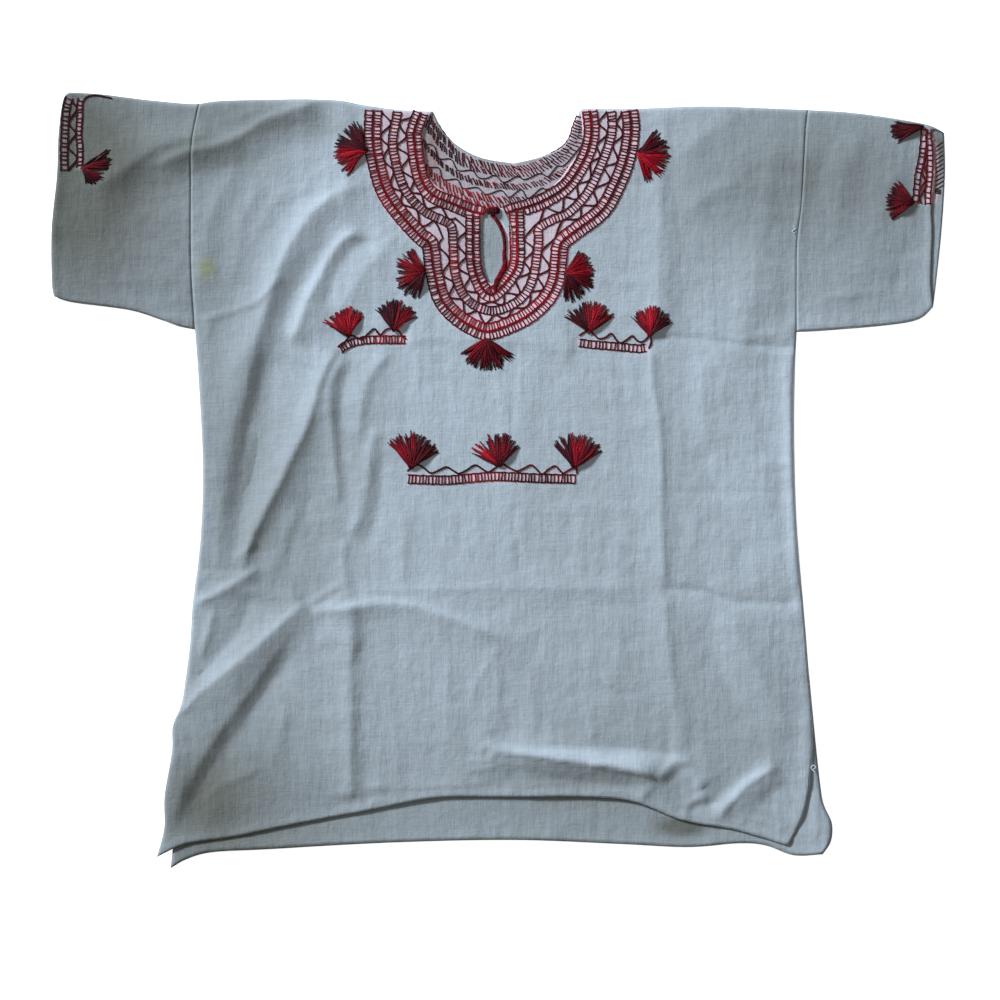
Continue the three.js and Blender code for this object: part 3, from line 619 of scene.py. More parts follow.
@dataclass
class Lie:
    """How a sheet of cloth lies: the heights of its two faces at any place.

    freedom = product over the holds of 1 - share * (1 - smooth(distance / reach)), and the
    underside is seat + freedom * max(0, loft + folds).
    """

    seat: float
    loft: float
    holds: tuple[Hold, ...]
    folds: tuple[Crease, ...] = ()
    creases: tuple[Crease, ...] = ()
    turns: tuple[Turn, ...] = ()
    hems: tuple[Line | Stretch, ...] = ()
    crumple: float = 0.3

    def top(self, xy: Array) -> Array:
        """Height of the upper face over the surface that the blouse lies on.

        Args:
            xy: points, one to a row.

        Returns:
            One height for each point.
        """
        freedom = np.ones(len(xy))
        for hold in self.holds:
            freedom *= 1.0 - hold.share * (1.0 - smooth(nearest(xy, hold.marks()) / LOFT_REACH))
        folds = sum((f.height(xy) for f in self.folds), np.zeros(len(xy)))
        height = self.seat + CLOTH + freedom * np.maximum(0.0, self.loft + folds)
        height += sum((c.height(xy) for c in self.creases), np.zeros(len(xy)))
        height += self.crumple * self.wrinkles(xy)
        return height + self.hem_height(xy) - self.roll(xy)

    def wrinkles(self, xy: Array) -> Array:
        """Soft unevenness: waves that cross at several slants, with their strength varied by place.

        Args:
            xy: points, one to a row.

        Returns:
            One height for each point.
        """
        x, y = xy.T
        broad = ripple(x + 0.35 * y, 95.0, 3) * ripple(y - 0.2 * x, 120.0, 8)
        upright = ripple(x + 0.08 * y + 5 * ripple(y, 90.0, 2), 34.0, 5) * (0.6 + 0.4 * ripple(y, 170.0, 1))
        level = ripple(y - 0.05 * x + 4 * ripple(x, 80.0, 6), 27.0, 4) * (0.5 + 0.5 * ripple(x, 140.0, 9))
        return broad + 0.55 * upright + 0.45 * level

    def hem_height(self, xy: Array) -> Array:
        """A turned hem: a second layer near the edge, puckered at its line of stitches.

        Args:
            xy: points, one to a row.

        Returns:
            One height for each point.
        """
        height = np.zeros(len(xy))
        for hem in self.hems:
            marks = hem.at(even(400))
            away = nearest(xy, marks)
            band = 1.0 - smooth((away - HEM_WIDTH) / HEM_STEP)
            pucker = ripple(xy[:, 0] + xy[:, 1], PUCKER_PITCH, 3)
            near_stitches = np.exp(-(((away - HEM_WIDTH) / PUCKER_REACH) ** 2))
            height += HEM_RISE * band + PUCKER_RISE * pucker * near_stitches
        return height

    def roll(self, xy: Array) -> Array:
        """How far the cloth turns down over its last 3 mm at a seam or fold.

        Args:
            xy: points, one to a row.

        Returns:
            One drop for each point.
        """
        drop = np.zeros(len(xy))
        for turn in self.turns:
            away = nearest(xy, turn.line.at(even(300)))
            drop = np.maximum(drop, turn.drop * np.maximum(0.0, 1.0 - away / TURN_REACH) ** 2)
        return drop


# ---- Finishes ----


@dataclass
class Nodes:
    """A short way to lay out one material's nodes."""

    material: bpy.types.Material

    @classmethod
    def new(cls, name: str) -> "Nodes":
        """An empty node tree with its output.

        Args:
            name: the material's name.

        Returns:
            The empty tree.
        """
        material = bpy.data.materials.new(name)
        material.use_nodes = True
        material.node_tree.nodes.clear()
        return cls(material)

    def add(self, kind: str, inputs: dict | None = None, **settings: object) -> bpy.types.Node:
        """One node.

        Args:
            kind: the node's type, without its prefix.
            inputs: values or sockets for its inputs, by name or number.
            settings: the node's own properties.

        Returns:
            The node.
        """
        node = self.material.node_tree.nodes.new("ShaderNode" + kind)
        for key, value in settings.items():
            setattr(node, key, value)
        for key, value in (inputs or {}).items():
            if isinstance(value, Socket):
                self.material.node_tree.links.new(value, node.inputs[key])
            else:
                node.inputs[key].default_value = value
        return node

    def math(
        self, operation: str, a: object, b: object = 0.0, c: object = 0.5, clamp: bool = False,
    ) -> Socket:
        """One arithmetic node's result. Only MULTIPLY_ADD, a * b + c, has a use for c."""
        return self.add("Math", {0: a, 1: b, 2: c}, operation=operation, use_clamp=clamp).outputs[0]

    def mix(self, share: object, a: object, b: object, blend: str = "MIX") -> Socket:
        """Two colours mixed by a share."""
        node = self.add("Mix", {0: share, 6: a, 7: b}, data_type="RGBA", blend_type=blend)
        return node.outputs[2]

    def noise(
        self, vector: object, scale: float, detail: float = 3.0, rough: float = 0.5,
    ) -> Socket:
        """Noise over a vector, from 0 to 1."""
        inputs = {"Vector": vector, "Scale": scale, "Detail": detail, "Roughness": rough}
        return self.add("TexNoise", inputs).outputs["Fac"]

    def attribute(self, name: str) -> Socket:
        """A number stored on the mesh."""
        return self.add("Attribute", attribute_name=name).outputs["Fac"]

    def place(self, scale: tuple[float, float, float]) -> Socket:
        """Object coordinates, stretched by a scale."""
        where = self.add("TexCoord").outputs["Object"]
        return self.add("Mapping", {"Vector": where, "Scale": scale}).outputs[0]

    def finish(self, shader: bpy.types.Node) -> bpy.types.Material:
        """Joins the shader to the output.

        Args:
            shader: the last node.

        Returns:
            The finished material.
        """
        output = self.add("OutputMaterial")
        self.material.node_tree.links.new(shader.outputs[0], output.inputs[0])
        return self.material


@dataclass(frozen=True)
class Cotton:
    """Coarse plain-woven cotton, darkened in places by painted shade, with dye that has run from the thread.
    """

    cloth: Colour = (0.50, 0.56, 0.615, 1.0)
    grey: Colour = (0.40, 0.455, 0.49, 1.0)
    # the dark colour of painted shade
    painted_shade_colour: Colour = (0.138, 0.144, 0.124, 1.0)
    dye: Colour = (0.80, 0.50, 0.55, 1.0)
    stain: Colour = (0.30, 0.32, 0.15, 1.0)
    yarn: float = 0.85  # mm from one yarn to the next
    weave_depth: float = 0.28
    crumple_depth: float = 0.55

    def material(self) -> bpy.types.Material:
        """The cloth's nodes: a weave of two sets of yarns, slubs, soft blotches and stored marks.

        Returns:
            The finished material.
        """
        n = Nodes.new("cotton")
        warp = self.yarns(n, (1.0, 0.0, 0.0))
        weft = self.yarns(n, (0.0, 1.0, 0.0))
        weave = n.math("ADD", warp, weft)
        slub_across = n.noise(n.place((60.0, 900.0, 60.0)), 1.0, 2.0)
        slub_up = n.noise(n.place((900.0, 70.0, 60.0)), 1.0, 2.0)
        slubs = n.math("ADD", slub_across, slub_up)
        blotch = n.noise(n.place((1.0, 1.0, 1.0)), 22.0, 4.0, 0.6)
        mottle = n.noise(n.place((1.0, 1.0, 1.0)), 160.0, 3.0, 0.7)
        tone = n.math("MULTIPLY_ADD", blotch, 0.75, n.math("MULTIPLY", mottle, 0.5), clamp=True)
        colour = n.mix(tone, self.cloth, self.grey)
        # painted shade: the stored mask darkens the cloth towards a dark grey where light falls off or folds
        # shade it
        colour = n.mix(n.attribute("age"), colour, self.painted_shade_colour)
        streak = n.math("MULTIPLY_ADD", n.math("SUBTRACT", slubs, 1.0), 0.6, 0.5)
        colour = n.mix(0.35, colour, streak, "SOFT_LIGHT")
        colour = n.mix(n.attribute("stain"), colour, self.stain)
        bleed = n.math("MULTIPLY", n.attribute("bleed"), n.math("ADD", mottle, 0.45), clamp=True)
        colour = n.mix(bleed, colour, self.dye)
        height = n.math("MULTIPLY_ADD", weave, 0.5, n.math("MULTIPLY", slubs, 1.6))
        bump = n.add("Bump", {"Height": height, "Strength": 0.55, "Distance": self.weave_depth * MM})
        upright = n.noise(n.place((110.0, 16.0, 1.0)), 1.0, 2.0, 0.5)
        soft = n.noise(n.place((60.0, 60.0, 1.0)), 1.0, 3.0, 0.55)
        crumple = n.math("MULTIPLY_ADD", upright, 1.2, n.math("MULTIPLY", soft, 2.2))
        inputs = {"Height": crumple, "Normal": bump.outputs[0], "Distance": self.crumple_depth * MM}
        bump = n.add("Bump", inputs | {"Strength": 1.0})
        inputs = {"Base Color": colour, "Roughness": 0.93, "Normal": bump.outputs[0]}
        shader = n.add("BsdfPrincipled", inputs)
        shader.inputs["Specular IOR Level"].default_value = 0.18
        shader.inputs["Sheen Weight"].default_value = 0.12
        shader.inputs["Sheen Roughness"].default_value = 0.6
        return n.finish(shader)

    def yarns(self, n: Nodes, axis: tuple[float, float, float]) -> Socket:
        """One set of yarns: a sine across the axis, between 0 and 1, once for each yarn.

        Args:
            n: the cloth's nodes.
            axis: direction across the yarns.

        Returns:
            The yarns' height.
        """
        turn = 2.0 * math.pi / (self.yarn * MM)
        where = n.add("TexCoord").outputs["Object"]
        across = n.add("VectorMath", {0: where, 1: axis}, operation="DOT_PRODUCT").outputs["Value"]
        wave = n.math("SINE", n.math("MULTIPLY", across, turn))
        return n.math("MULTIPLY_ADD", wave, 0.5, 0.5)


@dataclass(frozen=True)
class Thread:
    """Cotton thread dyed in shades that change along it, from near black to red."""

    shades: tuple[tuple[float, Colour], ...] = (
        (0.0, (0.024, 0.005, 0.008, 1.0)),
        (0.3, (0.072, 0.005, 0.009, 1.0)),
        (0.55, (0.18, 0.004, 0.01, 1.0)),
        (0.8, (0.33, 0.005, 0.014, 1.0)),
        (1.0, (0.46, 0.012, 0.026, 1.0)),
    )
    strand_turns: float = 3.0

    def material(self) -> bpy.types.Material:
        """The thread's nodes: a shade stored on the mesh, varied by noise, and a twist in the bump.

        Returns:
            The finished material.
        """
        n = Nodes.new("thread")
        stray = n.noise(n.place((1.0, 1.0, 1.0)), 420.0, 2.0)
        tone = n.math("MULTIPLY_ADD", n.math("SUBTRACT", stray, 0.5), 0.5, n.attribute("tone"))
        ramp = n.add("ValToRGB", {0: tone})
        stops = ramp.color_ramp.elements
        stops[0].position, stops[0].color = self.shades[0]
        stops[1].position, stops[1].color = self.shades[-1]
        for where, colour in self.shades[1:-1]:
            stops.new(where).color = colour
        uv = n.add("UVMap", uv_map="twist").outputs[0]
        turn = (2.0 * math.pi * self.strand_turns, 2.0 * math.pi, 0.0)
        across = n.add("VectorMath", {0: uv, 1: turn}, operation="DOT_PRODUCT").outputs["Value"]
        twist = n.math("SINE", across)
        bump = n.add("Bump", {"Height": twist, "Strength": 0.6, "Distance": 0.00012})
        inputs = {"Base Color": ramp.outputs[0], "Roughness": 0.7, "Normal": bump.outputs[0]}
        shader = n.add("BsdfPrincipled", inputs)
        shader.inputs["Specular IOR Level"].default_value = 0.12
        return n.finish(shader)


@dataclass
class Wardrobe:
    """The finishes, made once and shared by the pieces."""

    cotton: bpy.types.Material = field(default_factory=lambda: Cotton().material())
    thread: bpy.types.Material = field(default_factory=lambda: Thread().material())

    def of(self, slot: Slot) -> bpy.types.Material:
        """The finish of a slot."""
        return self.cotton if slot is Slot.COTTON else self.thread


# ---- Meshes ----


def grid_faces(rows: int, columns: int) -> Array:
    """Corner numbers of the squares of a grid of points, anticlockwise seen from above."""
    corner = np.arange(rows * columns).reshape(rows, columns)
    return np.stack([corner[:-1, :-1], corner[:-1, 1:], corner[1:, 1:], corner[1:, :-1]], -1).reshape(-1, 4)


def dress(name: str, points: Array, faces: list, slot: Slot, wardrobe: Wardrobe, node: str | None = None,
          numbers: dict[str, Array] | None = None) -> Piece:
    """Makes a piece, gives it its finish and ties it to the frame.

    Args:
        name: the piece's name.
        points: places in millimetres, one to a row.
        faces: lists of corner numbers.
        slot: which of the two finishes the piece takes.
        wardrobe: the finishes.
        node: the frame's node that the piece stands for.
        numbers: numbers to store at the points, by name.

    Returns:
        The piece.
    """
    mesh = bpy.data.meshes.new(name)
    mesh.from_pydata(points * MM, [], faces)
    for key, values in (numbers or {}).items():
        stored = mesh.attributes.new(name=key, type="FLOAT", domain="POINT")
        stored.data.foreach_set("value", np.asarray(values, np.float32))
    mesh.polygons.foreach_set("use_smooth", np.ones(len(mesh.polygons), bool))
    mesh.materials.append(wardrobe.of(slot))
    mesh.update()
    piece = bpy.data.objects.new(name, mesh)
    bpy.context.scene.collection.objects.link(piece)
    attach(piece, "root")
    if node:
        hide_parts(node)
    return piece


def thicken(piece: Piece, thickness: float) -> Piece:
    """Makes a surface a thin shell, whose wall lies under it.

    Args:
        piece: the surface.
        thickness: the wall's, in millimetres.

    Returns:
        The same piece.
    """
    wall = piece.modifiers.new("cloth", "SOLIDIFY")
    wall.thickness, wall.offset = thickness * MM, -1.0
    return piece


def read_keys(share: Array, keys: Keys) -> Array:
    """A thread's shade or slant by place, read between keys of (share, value)."""
    where, value = np.array(keys).T
    return np.interp(share, where, value)


@dataclass
class Strands:
    """A basket of threads that are joined into one mesh.

    Each thread is a round or flattened tube along a path: at each station a ring of sides points
    stands across the path, and the end rings are closed by flat caps.
    """

    sides: int = 6
    points: list[Array] = field(default_factory=list)
    squares: list[Array] = field(default_factory=list)
    caps: list[Array] = field(default_factory=list)
    tones: list[Array] = field(default_factory=list)
    twists: list[Array] = field(default_factory=list)
    count: int = 0

    def add(self, paths: Array, radius: Array | float, tone: Array | float, flat: float = 1.0) -> None:
        """Puts threads in the basket.

        Args:
            paths: stations in millimetres, shaped (threads, stations, 3).
            radius: half thickness, broadcast over (threads, stations).
            tone: shade from 0 to 1, broadcast over (threads, stations).
            flat: height of the section as a share of its width.
        """
        threads, stations, _ = paths.shape
        ahead = np.gradient(paths, axis=1)
        ahead /= np.maximum(np.linalg.norm(ahead, axis=2, keepdims=True), 1e-9)
        across = np.cross(ahead, (0.0, 0.0, 1.0))
        across /= np.maximum(np.linalg.norm(across, axis=2, keepdims=True), 1e-6)
        up = np.cross(across, ahead)
        angle = np.arange(self.sides) * (2.0 * math.pi / self.sides)
        radius = np.broadcast_to(radius, (threads, stations))[..., None, None]
        ring = across[:, :, None] * np.cos(angle)[:, None] + up[:, :, None] * (flat * np.sin(angle))[:, None]
        self.points.append((paths[:, :, None] + radius * ring).reshape(-1, 3))
        number = self.count + np.arange(threads * stations * self.sides)
        number = number.reshape(threads, stations, self.sides)
        here, there = number[:, :-1], number[:, 1:]
        square = np.stack([here, np.roll(here, -1, 2), np.roll(there, -1, 2), there], -1)
        self.squares.append(square.reshape(-1, 4))
        self.caps.append(np.concatenate([number[:, 0, ::-1], number[:, -1]]))
        tone = np.broadcast_to(tone, (threads, stations))
        self.tones.append(np.repeat(tone.reshape(-1), self.sides))
        steps = np.linalg.norm(np.diff(paths, axis=1), axis=2)
        run = np.concatenate([np.zeros((threads, 1)), np.cumsum(steps, 1)], 1) / 3.0
        turn = np.arange(self.sides) / self.sides
        low, high = np.broadcast_arrays(turn, turn + 1.0 / self.sides)
        u = np.broadcast_to(np.stack([low, high, high, low], -1), (threads, stations - 1, self.sides, 4))
        v = np.stack([run[:, :-1], run[:, :-1], run[:, 1:], run[:, 1:]], -1)[:, :, None]
        self.twists.append(np.stack([u, np.broadcast_to(v, u.shape)], -1).reshape(-1, 2))
        self.count += threads * stations * self.sides

    def piece(self, name: str, wardrobe: Wardrobe, node: str | None = None,
              slot: Slot = Slot.THREAD) -> Piece:
        """Joins the basket into one piece.

        Args:
            name: the piece's name.
            wardrobe: the cotton and the thread.
            node: the frame's node that it replaces, if any.
            slot: its material.

        Returns:
            The piece.
        """
        squares, caps = np.concatenate(self.squares), np.concatenate(self.caps)
        faces = squares.tolist() + caps.tolist()
        numbers = {"tone": np.concatenate(self.tones)}
        piece = dress(name, np.concatenate(self.points), faces, slot, wardrobe, node, numbers)
        layer = piece.data.uv_layers.new(name="twist")
        uv = np.vstack([np.concatenate(self.twists), np.zeros((caps.size, 2))])
        layer.data.foreach_set("uv", uv.astype(np.float32).reshape(-1))
        return piece


# ---- Thread work ----


@dataclass
class Stitcher:
    """Lays threads on a face of the cloth.

    A place across a band is a line and an offset to its left, and its height is the cloth's own
    height there plus the thread's.
    """

    lie: Lie
    face: Face = Face.UP
    seed: int = SEED
    strands: Strands = field(default_factory=Strands)

    def __post_init__(self) -> None:
        """Starts the seeded draws."""
        self.draw = np.random.default_rng(self.seed)

    def lift(self, xy: Array, raise_by: Array | float) -> Array:
        """Puts places on the cloth's face. Under the back, thread is pressed to 0.4 of its height.

        Args:
            xy: plan places, shaped (..., 2).
            raise_by: height over the face.

        Returns:
            Places with their heights, shaped (..., 3).
        """
        flat = xy.reshape(-1, 2)
        if self.face is Face.UP:
            z = self.lie.top(flat).reshape(xy.shape[:-1]) + raise_by
        else:
            z = YOKE_UNDERSIDE - 0.4 * np.broadcast_to(raise_by, xy.shape[:-1])
        return np.concatenate([xy, np.broadcast_to(z, xy.shape[:-1])[..., None]], -1)

    def rungs(self, low: Array, high: Array, tone: Array, radius: float = 0.6) -> None:
        """Short straight stitches, each from low to high, arched over the cloth.

        The height over the cloth is 0.2 + 0.35 sin(pi t), and the ends are thicker than the middle.

        Args:
            low: where each stitch starts.
            high: where each stitch ends.
            tone: the stitches' shades.
            radius: half thickness in the middle.
        """
        t = even(5)
        xy = low[:, None] + (high - low)[:, None] * t[:, None]
        path = self.lift(xy, 0.2 + 0.35 * np.sin(math.pi * t))
        size = radius * np.array([1.25, 1.0, 0.92, 1.0, 1.25])
        size = size * self.draw.uniform(0.85, 1.15, (len(low), 1))
        tone = tone + self.draw.normal(0.0, 0.12, len(low))
        self.strands.add(path, size, np.clip(tone, 0.0, 1.0)[:, None], 0.75)

    def run(self, xy: Array, tone: Array, radius: float = 0.72, pitch: float = 3.0) -> None:
        """A long line of thread, whose height and width swell at each stitch.

        Args:
            xy: stations along the thread.
            tone: its shade at each station.
            radius: half thickness.
            pitch: length of a stitch.
        """
        step = np.linalg.norm(np.diff(xy, axis=0), axis=1)
        along = np.concatenate([[0.0], np.cumsum(step)])
        beat = np.sin(2.0 * math.pi * along / pitch)
        path = self.lift(xy, 0.45 + 0.15 * beat)
        size = radius * (1.0 + 0.16 * beat + self.draw.normal(0.0, 0.05, len(xy)))
        size[[0, -1]] *= 0.4
        self.strands.add(path[None], size[None], np.clip(tone, 0.0, 1.0)[None], 0.85)


@dataclass(frozen=True)
class Ladder:
    """A band of rungs between long lines: rows of rungs side by side along a middle line."""

    line: Line
    row: float
    rows: int
    shades: tuple[Keys, ...]
    pitch: float = 3.1
    slant: float = 0.0
    spans: tuple[tuple[float, float], ...] = ((0.0, 1.0), (0.0, 1.0))

    def offsets(self) -> Array:
        """Places of the long lines, from the right of the middle line to its left."""
        return (np.arange(self.rows + 1) - self.rows / 2.0) * self.row

    def sew(self, stitcher: Stitcher) -> None:
        """Sews the rungs, then the long lines over their ends.

        Args:
            stitcher: lays the threads.
        """
        draw = stitcher.draw
        edges = self.offsets()
        for number, (low, high) in enumerate(zip(edges[:-1], edges[1:])):
            first, last = self.spans[number]
            count = int(self.line.length * (last - first) / self.pitch)
            share = first + (last - first) * (np.arange(count) + 0.5 + draw.normal(0.0, 0.12, count)) / count
            lean = (self.slant + draw.normal(0.0, 0.45, count)) / self.line.length
            start = self.line.beside(share, np.full(count, low + 0.25))
            end = self.line.beside(share + lean, np.full(count, high - 0.25))
            tone = read_keys(share, self.shades[min(number, len(self.shades) - 1)])
            stitcher.rungs(start, end, tone)
        for number, edge in enumerate(edges):
            row = min(number, self.rows - 1)
            inner = 0 < number < self.rows
            span = (0.0, 1.0) if inner else self.spans[row]
            for shift in ((-0.6, 0.6) if inner else (0.0,)):
                self.long_line(stitcher, edge + shift, self.shades[min(row, len(self.shades) - 1)], span)

    def long_line(self, stitcher: Stitcher, offset: float, keys: Keys, span: tuple[float, float]) -> None:
        """One long line beside the middle line, a little unsteady.

        Args:
            stitcher: lays the thread.
            offset: distance to the left of the middle line.
            keys: shades along the middle line.
            span: shares of the middle line between which it runs.
        """
        length = self.line.length * (span[1] - span[0])
        share = np.linspace(*span, max(4, int(length / 1.5)))
        along = share * self.line.length
        wander = 0.34 * ripple(along, 7.0, int(offset * 10) % 17)
        xy = self.line.beside(share, offset + wander)
        tone = read_keys(share, keys) - 0.04 + 0.12 * ripple(along, 23.0, 4 + int(offset) % 5)
        stitcher.run(xy, tone, 0.68)


@dataclass(frozen=True)
class Wave:
    """A thread that swings from one edge to the other, with rounded turns.

    Across the space between the edges it stands at 0.5 - 0.5 cos(pi n), where n counts the swings.
    """

    one: Line
    other: Line
    one_offset: float
    other_offset: float
    swing: float
    shades: Keys
    start: float = 0.0
    radius: float = 0.95

    def sew(self, stitcher: Stitcher) -> None:
        """Sews the wave as one long line.

        Args:
            stitcher: lays the threads.
        """
        count = max(2, round(self.one.length / self.swing))
        stations = count * 9
        share = even(stations)
        beat = share * count + 0.16 * ripple(share * count, 3.7, 5) + self.start
        across = 0.5 - 0.5 * np.cos(math.pi * beat)
        near = self.one.beside(share, self.one_offset)
        facing = self.other.measure(near)[1]
        far = self.other.beside(facing, self.other_offset)
        xy = near * (1.0 - across)[:, None] + far * across[:, None]
        stitcher.run(xy, read_keys(share, self.shades), self.radius)


OUTER_BAND = Line((
    (-118.8, 352.6), (-119.5, 323.5), (-116.1, 301.6), (-108.5, 276), (-94.8, 255.1), (-74.3, 232.3),
    (-66.3, 226.6), (-63.6, 217), (-61.5, 200), (-54, 172.4), (-38.2, 154.4), (-18.3, 143),
    (-6.9, 141.8), (10.7, 147.7), (29.2, 157.4), (45.4, 172.4), (54.4, 189.5), (57, 208.5),
    (59.6, 225.1), (72.4, 236.3), (97.6, 255.5), (110.9, 277.4), (121.4, 304.5), (126.1, 333),
    (124.2, 352.6),
))
MIDDLE_BAND = Line((
    (-95.7, 351), (-100.5, 323.5), (-98.1, 304.5), (-92.9, 285.5), (-84.8, 270.3), (-70.5, 256),
    (-54.4, 247.9), (-46.8, 243.9), (-43.7, 237), (-42.8, 219), (-41.6, 200), (-35.9, 181),
    (-24.9, 168.2), (-7.8, 161.4), (8.8, 165), (24.1, 175.7), (32.3, 191.4), (35.9, 209.5),
    (38, 228.5), (37.7, 235.6), (39.7, 241.3), (52, 248.1), (66.7, 254.6), (83.4, 271.9),
    (95.4, 295), (105.2, 320.6), (108.1, 337.7), (106.9, 351.6),
))
NECKLINE_LEFT = Line((
    (-73.5, 350.4), (-79.8, 333), (-80, 323.5), (-77.7, 304.5), (-72.9, 285.5), (-62.9, 271.7),
    (-43.5, 263.2), (-27, 256.5), (-13, 253),
))
NECKLINE_RIGHT = Line((
    (6, 253.5), (16.3, 257.2), (26, 259.8), (44.4, 266.7), (63.4, 278.8), (75.8, 295), (85.1, 314),
    (88.6, 333), (86.6, 352.2),
))
KEYHOLE_BAND = Line((
    (-24.2, 254), (-24.2, 228.5), (-24, 214.2), (-22.6, 201.9), (-19.2, 191.4), (-14.5, 181.9),
    (-7.8, 176.6), (-1.2, 180), (5.9, 187.1), (11.6, 194.3), (16.4, 202.8), (18, 214.2),
    (17.8, 228.5), (17.1, 257),
))
INNER_EDGE = Line((
    (-81, 350.4), (-87, 333), (-87, 323.5), (-84.4, 303), (-79, 282), (-67.5, 266), (-46, 256.6),
    (-31, 251), (-31, 228.5), (-30, 205), (-24, 186), (-15, 173), (-7.8, 169.8), (1, 173),
    (14, 187), (23, 203), (24.7, 220), (24, 248), (34, 255), (50, 261.5), (69, 274),
    (82.5, 292), (92, 313), (95.4, 333), (93.4, 351),
))
OUTER_ROW, MIDDLE_ROW, NECK_ROW, KEYHOLE_ROW = 7.7, 7.9, 6.9, 6.7


@dataclass
class NeckBand:
    """The embroidered yoke round the neck of the front, and the ladders round its keyhole slit."""

    wardrobe: Wardrobe
    lie: Lie

    def build(self) -> Piece:
        """Sews the yoke.

        Returns:
            The piece.
        """
        stitcher = Stitcher(self.lie, seed=SEED + 1)
        outer = (
            ((0, 0.25), (0.1, 0.3), (0.16, 0.6), (0.25, 0.25), (0.36, 0.15), (0.5, 0.3), (0.6, 0.55),
             (0.72, 0.45), (0.82, 0.15), (1, 0.25)),
            ((0, 0.3), (0.12, 0.6), (0.25, 0.5), (0.36, 0.45), (0.45, 0.7), (0.6, 0.6), (0.72, 0.55),
             (0.85, 0.3), (1, 0.4)),
        )
        middle = (((0, 0.3), (0.12, 0.45), (0.22, 0.15), (0.3, 0.2), (0.36, 0.65), (0.42, 0.35),
                   (0.5, 0.12), (0.58, 0.3), (0.66, 0.55), (0.74, 0.3), (0.86, 0.15), (1, 0.3)),)
        neck_left = (((0, 0.35), (0.3, 0.5), (0.6, 0.6), (0.75, 0.2), (1, 0.5)),
                     ((0, 0.25), (0.3, 0.6), (0.6, 0.6), (0.8, 0.45), (1, 0.75)))
        neck_right = (((0, 0.45), (0.3, 0.3), (0.6, 0.35), (1, 0.5)),
                      ((0, 0.5), (0.3, 0.25), (0.6, 0.4), (1, 0.55)))
        slit = (((0, 0.3), (0.25, 0.3), (0.45, 0.6), (0.6, 0.3), (0.8, 0.1), (1, 0.25)),
                ((0, 0.4), (0.2, 0.3), (0.4, 0.45), (0.55, 0.6), (0.75, 0.85), (1, 0.6)))
        Ladder(OUTER_BAND, OUTER_ROW, 2, outer).sew(stitcher)
        Ladder(MIDDLE_BAND, MIDDLE_ROW, 1, middle).sew(stitcher)
        Ladder(NECKLINE_LEFT, NECK_ROW, 2, neck_left, spans=((0.0, 0.88), (0.0, 1.0))).sew(stitcher)
        Ladder(NECKLINE_RIGHT, NECK_ROW, 2, neck_right, spans=((0.13, 1.0), (0.0, 1.0))).sew(stitcher)
        Ladder(KEYHOLE_BAND, KEYHOLE_ROW, 2, slit).sew(stitcher)
        dark = ((0, 0.25), (0.16, 0.35), (0.3, 0.2), (0.5, 0.4), (0.75, 0.3), (1, 0.2))
        Wave(OUTER_BAND, MIDDLE_BAND, OUTER_ROW, -MIDDLE_ROW / 2, 12.5, dark).sew(stitcher)
        Wave(MIDDLE_BAND, INNER_EDGE, MIDDLE_ROW / 2, 0.0, 11.5, dark, 1.0).sew(stitcher)
        return stitcher.strands.piece("neck_band", self.wardrobe)


@dataclass(frozen=True)
class Motif:
    """A short ladder with a zigzag thread over it."""

    name: str
    bottom: Line
    row: float
    pitch: float
    zigzag: tuple[Point, ...]
    ladder_shades: Keys
    zigzag_shades: Keys

    def build(self, wardrobe: Wardrobe, lie: Lie, seed: int) -> Piece:
        """Sews the motif.

        Args:
            wardrobe: the cotton and the thread.
            lie: how the cloth under the threads lies.
            seed: start of the random draws.

        Returns:
            The piece.
        """
        stitcher = Stitcher(lie, seed=seed)
        middle = self.bottom.moved(self.row / 2.0, 9)
        Ladder(middle, self.row, 1, (self.ladder_shades,), self.pitch).sew(stitcher)
        path = Line(self.zigzag)
        share = even(int(path.length / 1.4))
        stitcher.run(path.at(share), read_keys(share, self.zigzag_shades), 0.9)
        return stitcher.strands.piece(self.name, wardrobe)


CHEST_LEFT = Motif(
    "chest_motif_left",
    Line(((-148.9, 121.1), (-140.8, 126.3), (-129.4, 129.2), (-118, 130.2), (-87.6, 130.2))),
    7.0, 2.9,
    ((-149.6, 126), (-140.5, 137.3), (-133.5, 135.2), (-129.5, 134.2), (-123, 140), (-117.5, 144),
     (-112.3, 138.2), (-107, 143), (-101, 144.4), (-94, 141.5), (-91.4, 137.2), (-87, 134)),
    ((0, 0.1), (0.4, 0.3), (0.6, 0.55), (1, 0.5)), ((0, 0.15), (0.5, 0.05), (0.7, 0.4), (1, 0.45)),
)
CHEST_RIGHT = Motif(
    "chest_motif_right",
    Line(((75.8, 127.5), (87.2, 125.9), (110.9, 123.8), (134.7, 121.7), (141.5, 122.8))),
    7.0, 3.5,
    ((76.5, 137.5), (82, 141), (87.2, 142.2), (91, 138.5), (95.7, 134.6), (102, 136), (107.3, 139.5),
     (111.5, 134), (115.9, 130.6), (121, 133), (127.1, 137.3), (130.5, 134), (134.7, 131.4),
     (139, 133), (143.7, 137.3), (145, 131), (142.5, 125)),
    ((0, 0.15), (0.5, 0.3), (0.75, 0.1), (1, 0.3)), ((0, 0.4), (0.5, 0.25), (1, 0.2)),
)
